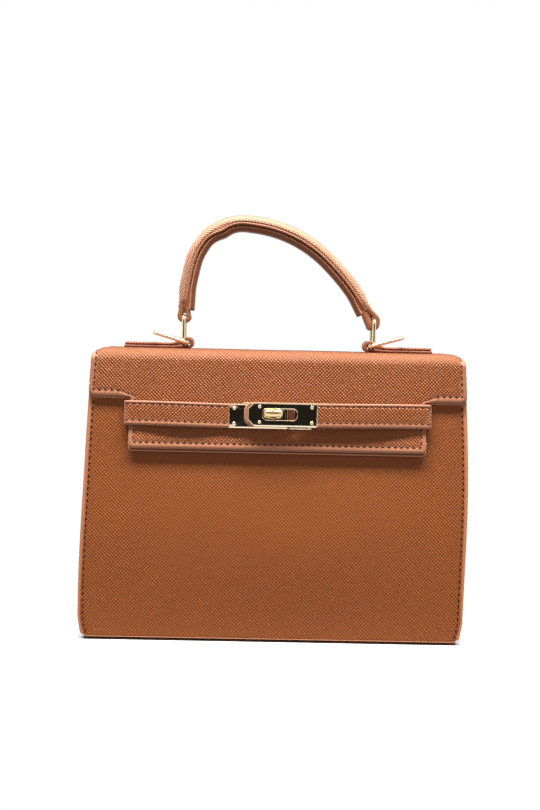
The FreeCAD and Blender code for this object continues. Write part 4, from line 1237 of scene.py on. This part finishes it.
# %% [markdown]
# ## The handle
# The handle is a padded roll: a crowned cover over a felt filler, with its lower edge turned into a bead,
# and a flatter strip sewn on beneath. All three are one section carried along one crook of four arcs.
# Bending has pinched the bead and the strip at the tight part of the crook, so they are pushed in there.

# %% The crook
ARCS = ((247.3, 7.3), (35.25, 78.5), (84.4, 40.4), (157.7, 16.3))
CROOK_START, CROOK_HEADING = Vector((-64.36, 216.2)), 83.46


def heading_way(degrees):
    """The direction of a heading, along x and up."""
    return Vector((cos(radians(degrees)), sin(radians(degrees))))


def along_crook(distance):
    """The place and heading of the handle's middle line at a distance from its left end."""
    place, heading = CROOK_START, CROOK_HEADING
    left = distance
    for radius, turn in ARCS:
        length = radius * radians(turn)
        part = min(left, length) if (radius, turn) != ARCS[-1] else left
        swing = math.degrees(part / radius)
        centre = place + heading_way(heading - 90) * radius
        place = centre + heading_way(heading + 90 - swing) * radius
        heading -= swing
        left -= part
        if left <= 1e-9:
            break
    return place, heading


CROOK = sum(radius * radians(turn) for radius, turn in ARCS)


def on_handle(distance, across, out):
    """A spot of the handle: along its middle line, across it, and out from the hand."""
    place, heading = along_crook(distance)
    spot = place + heading_way(heading + 90) * out
    return Vector((spot.x, across, spot.y))


def sweep(name, section, first, last, material):
    """A closed section of (across, out, rim share) carried along the crook, with closed ends."""
    piece = bmesh.new()
    rim = piece.verts.layers.float.new("rim")
    flat = piece.loops.layers.uv.new("flat")
    stops, rings = spread(first, last, 1.3), []
    for distance in stops:
        ring = []
        for across, out, share in section(distance):
            vert = piece.verts.new(on_handle(distance, across, out) * MM)
            vert[rim] = share
            ring.append(vert)
        rings.append(ring)
    shape = section((first + last) / 2)
    girth = [0.0]
    for start, end in zip(shape, shape[1:] + shape[:1]):
        girth.append(girth[-1] + math.hypot(end[0] - start[0], end[1] - start[1]))
    join_rings(piece, rings, flat, lambda k, i: Vector((stops[k], girth[i])) * MM)
    piece.faces.new(rings[0])
    piece.faces.new(rings[-1])
    return make_object(name, piece, material)


# %% Sections of the handle
COVER_HALF, CROWN, COVER_SHOULDER, CROWN_STEPS = 7.0, 6.0, 1.2, 12
END_SQUEEZE, END_DROP, STRIP_DROP = 0.16, 1.5, 1.25
CREASES = ((62.0, 1.1, 5.0), (50.0, -0.4, 4.0), (75.0, -0.4, 6.0))


def pinch(distance):
    """How far bending has pushed the underside in, most at two creases in the crook."""
    return sum(depth * math.exp(-((distance - at) / wide) ** 2) for at, depth, wide in CREASES)


def end_ease(distance, reach):
    """1 at either end of the handle and 0 further in."""
    near = min(distance, CROOK - distance)
    return 1 - smooth_step(near, 0, reach)


def mirrored(half):
    """A closed section from its right half, which runs from the top middle to the bottom middle."""
    return half + [(-across, out, share) for across, out, share in half[-2:0:-1]]


BEAD = [(6.72, 0.85, 0.25), (6.86, 0.5, 0.75), (7.16, 0.12, 0.9), (7.2, -0.35, 0.9), (6.95, -0.8, 0.8),
        (6.4, -1.02, 0.7), (0.0, -1.02, 0.5)]
# The rim shares in STRIP place the strip's painted highlight along its upper edge.
STRIP = [(0.0, -1.2, 0.3), (5.0, -1.25, 0.3), (5.3, -1.75, 0.4), (5.95, -2.0, 0.95), (6.36, -2.35, 1.0),
         (6.3, -2.75, 0.6), (6.15, -3.1, 0.1), (6.1, -4.2, 0.05), (5.8, -5.0, 0.1), (5.0, -5.4, 0.2),
         (0.0, -5.45, 0.1)]


def cover_section(distance):
    """The crowned cover with the bead along its lower edge."""
    press = pinch(distance)
    squeeze = 1 - END_SQUEEZE * end_ease(distance, 7.0)
    crown = CROWN - END_DROP * end_ease(distance, 16.0)
    half = []
    for step in range(CROWN_STEPS + 1):
        angle = pi / 2 * (1 - step / CROWN_STEPS)
        across = COVER_HALF * cos(angle) ** 0.88 if step else 0.0
        out = COVER_SHOULDER + (crown - COVER_SHOULDER) * sin(angle) ** 0.94
        half.append((across * squeeze, out, 0.0))
    return mirrored(half + [(across * squeeze, out - press, share) for across, out, share in BEAD])


def strip_section(distance):
    """The strip beneath, with a groove where it meets the cover."""
    shift = -pinch(distance) - STRIP_DROP * end_ease(distance, 17.0)
    return mirrored([(across, out + shift, share) for across, out, share in STRIP])


cover = sweep("handle_cover_leather", cover_section, 0.0, CROOK, handle_hide)
dress(cover, "handle", "tan_leather", "handle_cover", "handle_core")
strip = sweep("handle_strip_leather", strip_section, -0.8, CROOK + 0.8, strip_hide)
dress(strip, "handle", "tan_leather", "handle_underlay")
HANDLE_ROW, HANDLE_ROW_OUT = 6.74, 0.9
stops = spread(3.0, CROOK - 3.0, 1.2)
seams = [[(on_handle(stop, row * HANDLE_ROW, HANDLE_ROW_OUT - pinch(stop)), Vector((0, row, 0)))
          for stop in stops] for row in (-1, 1)]
dress(stitch("handle_stitches", seams, pitch=2.6, length=1.6, width=0.42), "handle", "tan_leather")
print("handle length in mm:", round(CROOK, 1))

# %% [markdown]
# ## The end loops
# At each end a strip of leather goes down outside, round the ring, and up again between the cover and the
# strip beneath, where it is sewn in. It closes to a drop shape, dark inside, with the ring hanging in it.

# %% End loops
LOOP_HALF, LOOP_LEATHER = 6.0, 2.9
RING_X, RING_TOP = 64.2, 211.0
LOOP_TURN, LOOP_STEPS = 0.9 * pi, 14
LOOP_FRONT, LOOP_TAIL = ((7, 3.4), (0.8, 3.5)), ((0.8, -3.2), (5, -2.9), (15, -2.1))
for name, side, distance, reach in (("left", -1, 0.0, (4.7, 4.8)), ("right", 1, CROOK, (4.2, 7.4))):
    root, heading = along_crook(distance)
    into = heading_way(heading) * -side
    out = heading_way(heading + 90)
    eye = Vector((side * RING_X, RING_TOP))
    axis = (root - eye).normalized()
    wing = Vector((-axis.y, axis.x)) * -side
    front, tail = [[root + into * a + out * b for a, b in ends] for ends in (LOOP_FRONT, LOOP_TAIL)]
    arc = []
    for step in range(LOOP_STEPS + 1):
        angle = LOOP_TURN * step / LOOP_STEPS
        far = reach[0] + (reach[1] - reach[0]) * smooth_step(angle, 0.8, 2.4)
        arc.append(eye + (wing * cos(angle) - axis * sin(angle)) * far)
    spots = front + arc + tail
    loop_run = Run([(spot.x, spot.y, 0) for spot in spots])
    bend_start = (spots[1] - spots[0]).length + (spots[2] - spots[1]).length
    bend_end = loop_run.length - sum((b - a).length for a, b in zip(spots[-4:], spots[-3:]))

    def on_loop(along, across, height):
        outer = (reach[0] - LOOP_LEATHER) * (1 - smooth_step(along, bend_start - 3.4, bend_start - 1.4))
        inner = (sum(reach) / 2 - LOOP_LEATHER) * smooth_step(along, bend_end + 2.6, bend_end + 4.6)
        crown = (outer + inner) * (1 - (across / LOOP_HALF) ** 4)
        grow = smooth_step(along, bend_start + 2, bend_end - 4)
        stout = grow * (1 - smooth_step(along, bend_end + 1, bend_end + 6))
        depth = LOOP_LEATHER + crown + 0.5 * (reach[1] - reach[0]) * stout
        spot = loop_run.at(along, -side * (1 - height / LOOP_LEATHER) * depth)
        return Vector((spot.x, across, spot.y))

    corners = box_corners(0, loop_run.length, -LOOP_HALF, LOOP_HALF, 0.5)
    steps = rim_steps(0, LOOP_LEATHER, 0.6, puff=0.0, stitch=None)
    blank = cut(corners, steps, spread(2, loop_run.length - 2, 1.0), spread(-5, 5, 2))
    loop = fold("handle_end_" + name, blank, on_loop, under_hide)
    dress(loop, "handle", "tan_leather", "handle_loop_" + name)
    print("end loop strip in mm:", round(loop_run.length, 1))

# %% [markdown]
# ## Pieces kept from the CAD model
# The boards, the lock's base and its back plate, and the wire rings are right as they are, so they only get
# finishes.

# %% Finishes for kept pieces
KEPT = {
    "base_board": board_fibre, "front_board": board_fibre, "back_board": board_fibre,
    "lock_base": ring_gold, "lock_backing": ring_gold,
    "handle_ring_left": ring_gold, "handle_ring_right": ring_gold,
    "shoulder_ring_left": ring_gold, "shoulder_ring_right": ring_gold,
}
for name, material in KEPT.items():
    node = bpy.data.objects[name]
    node.data.materials.clear()
    node.data.materials.append(material)
print("kept pieces:", len(KEPT))
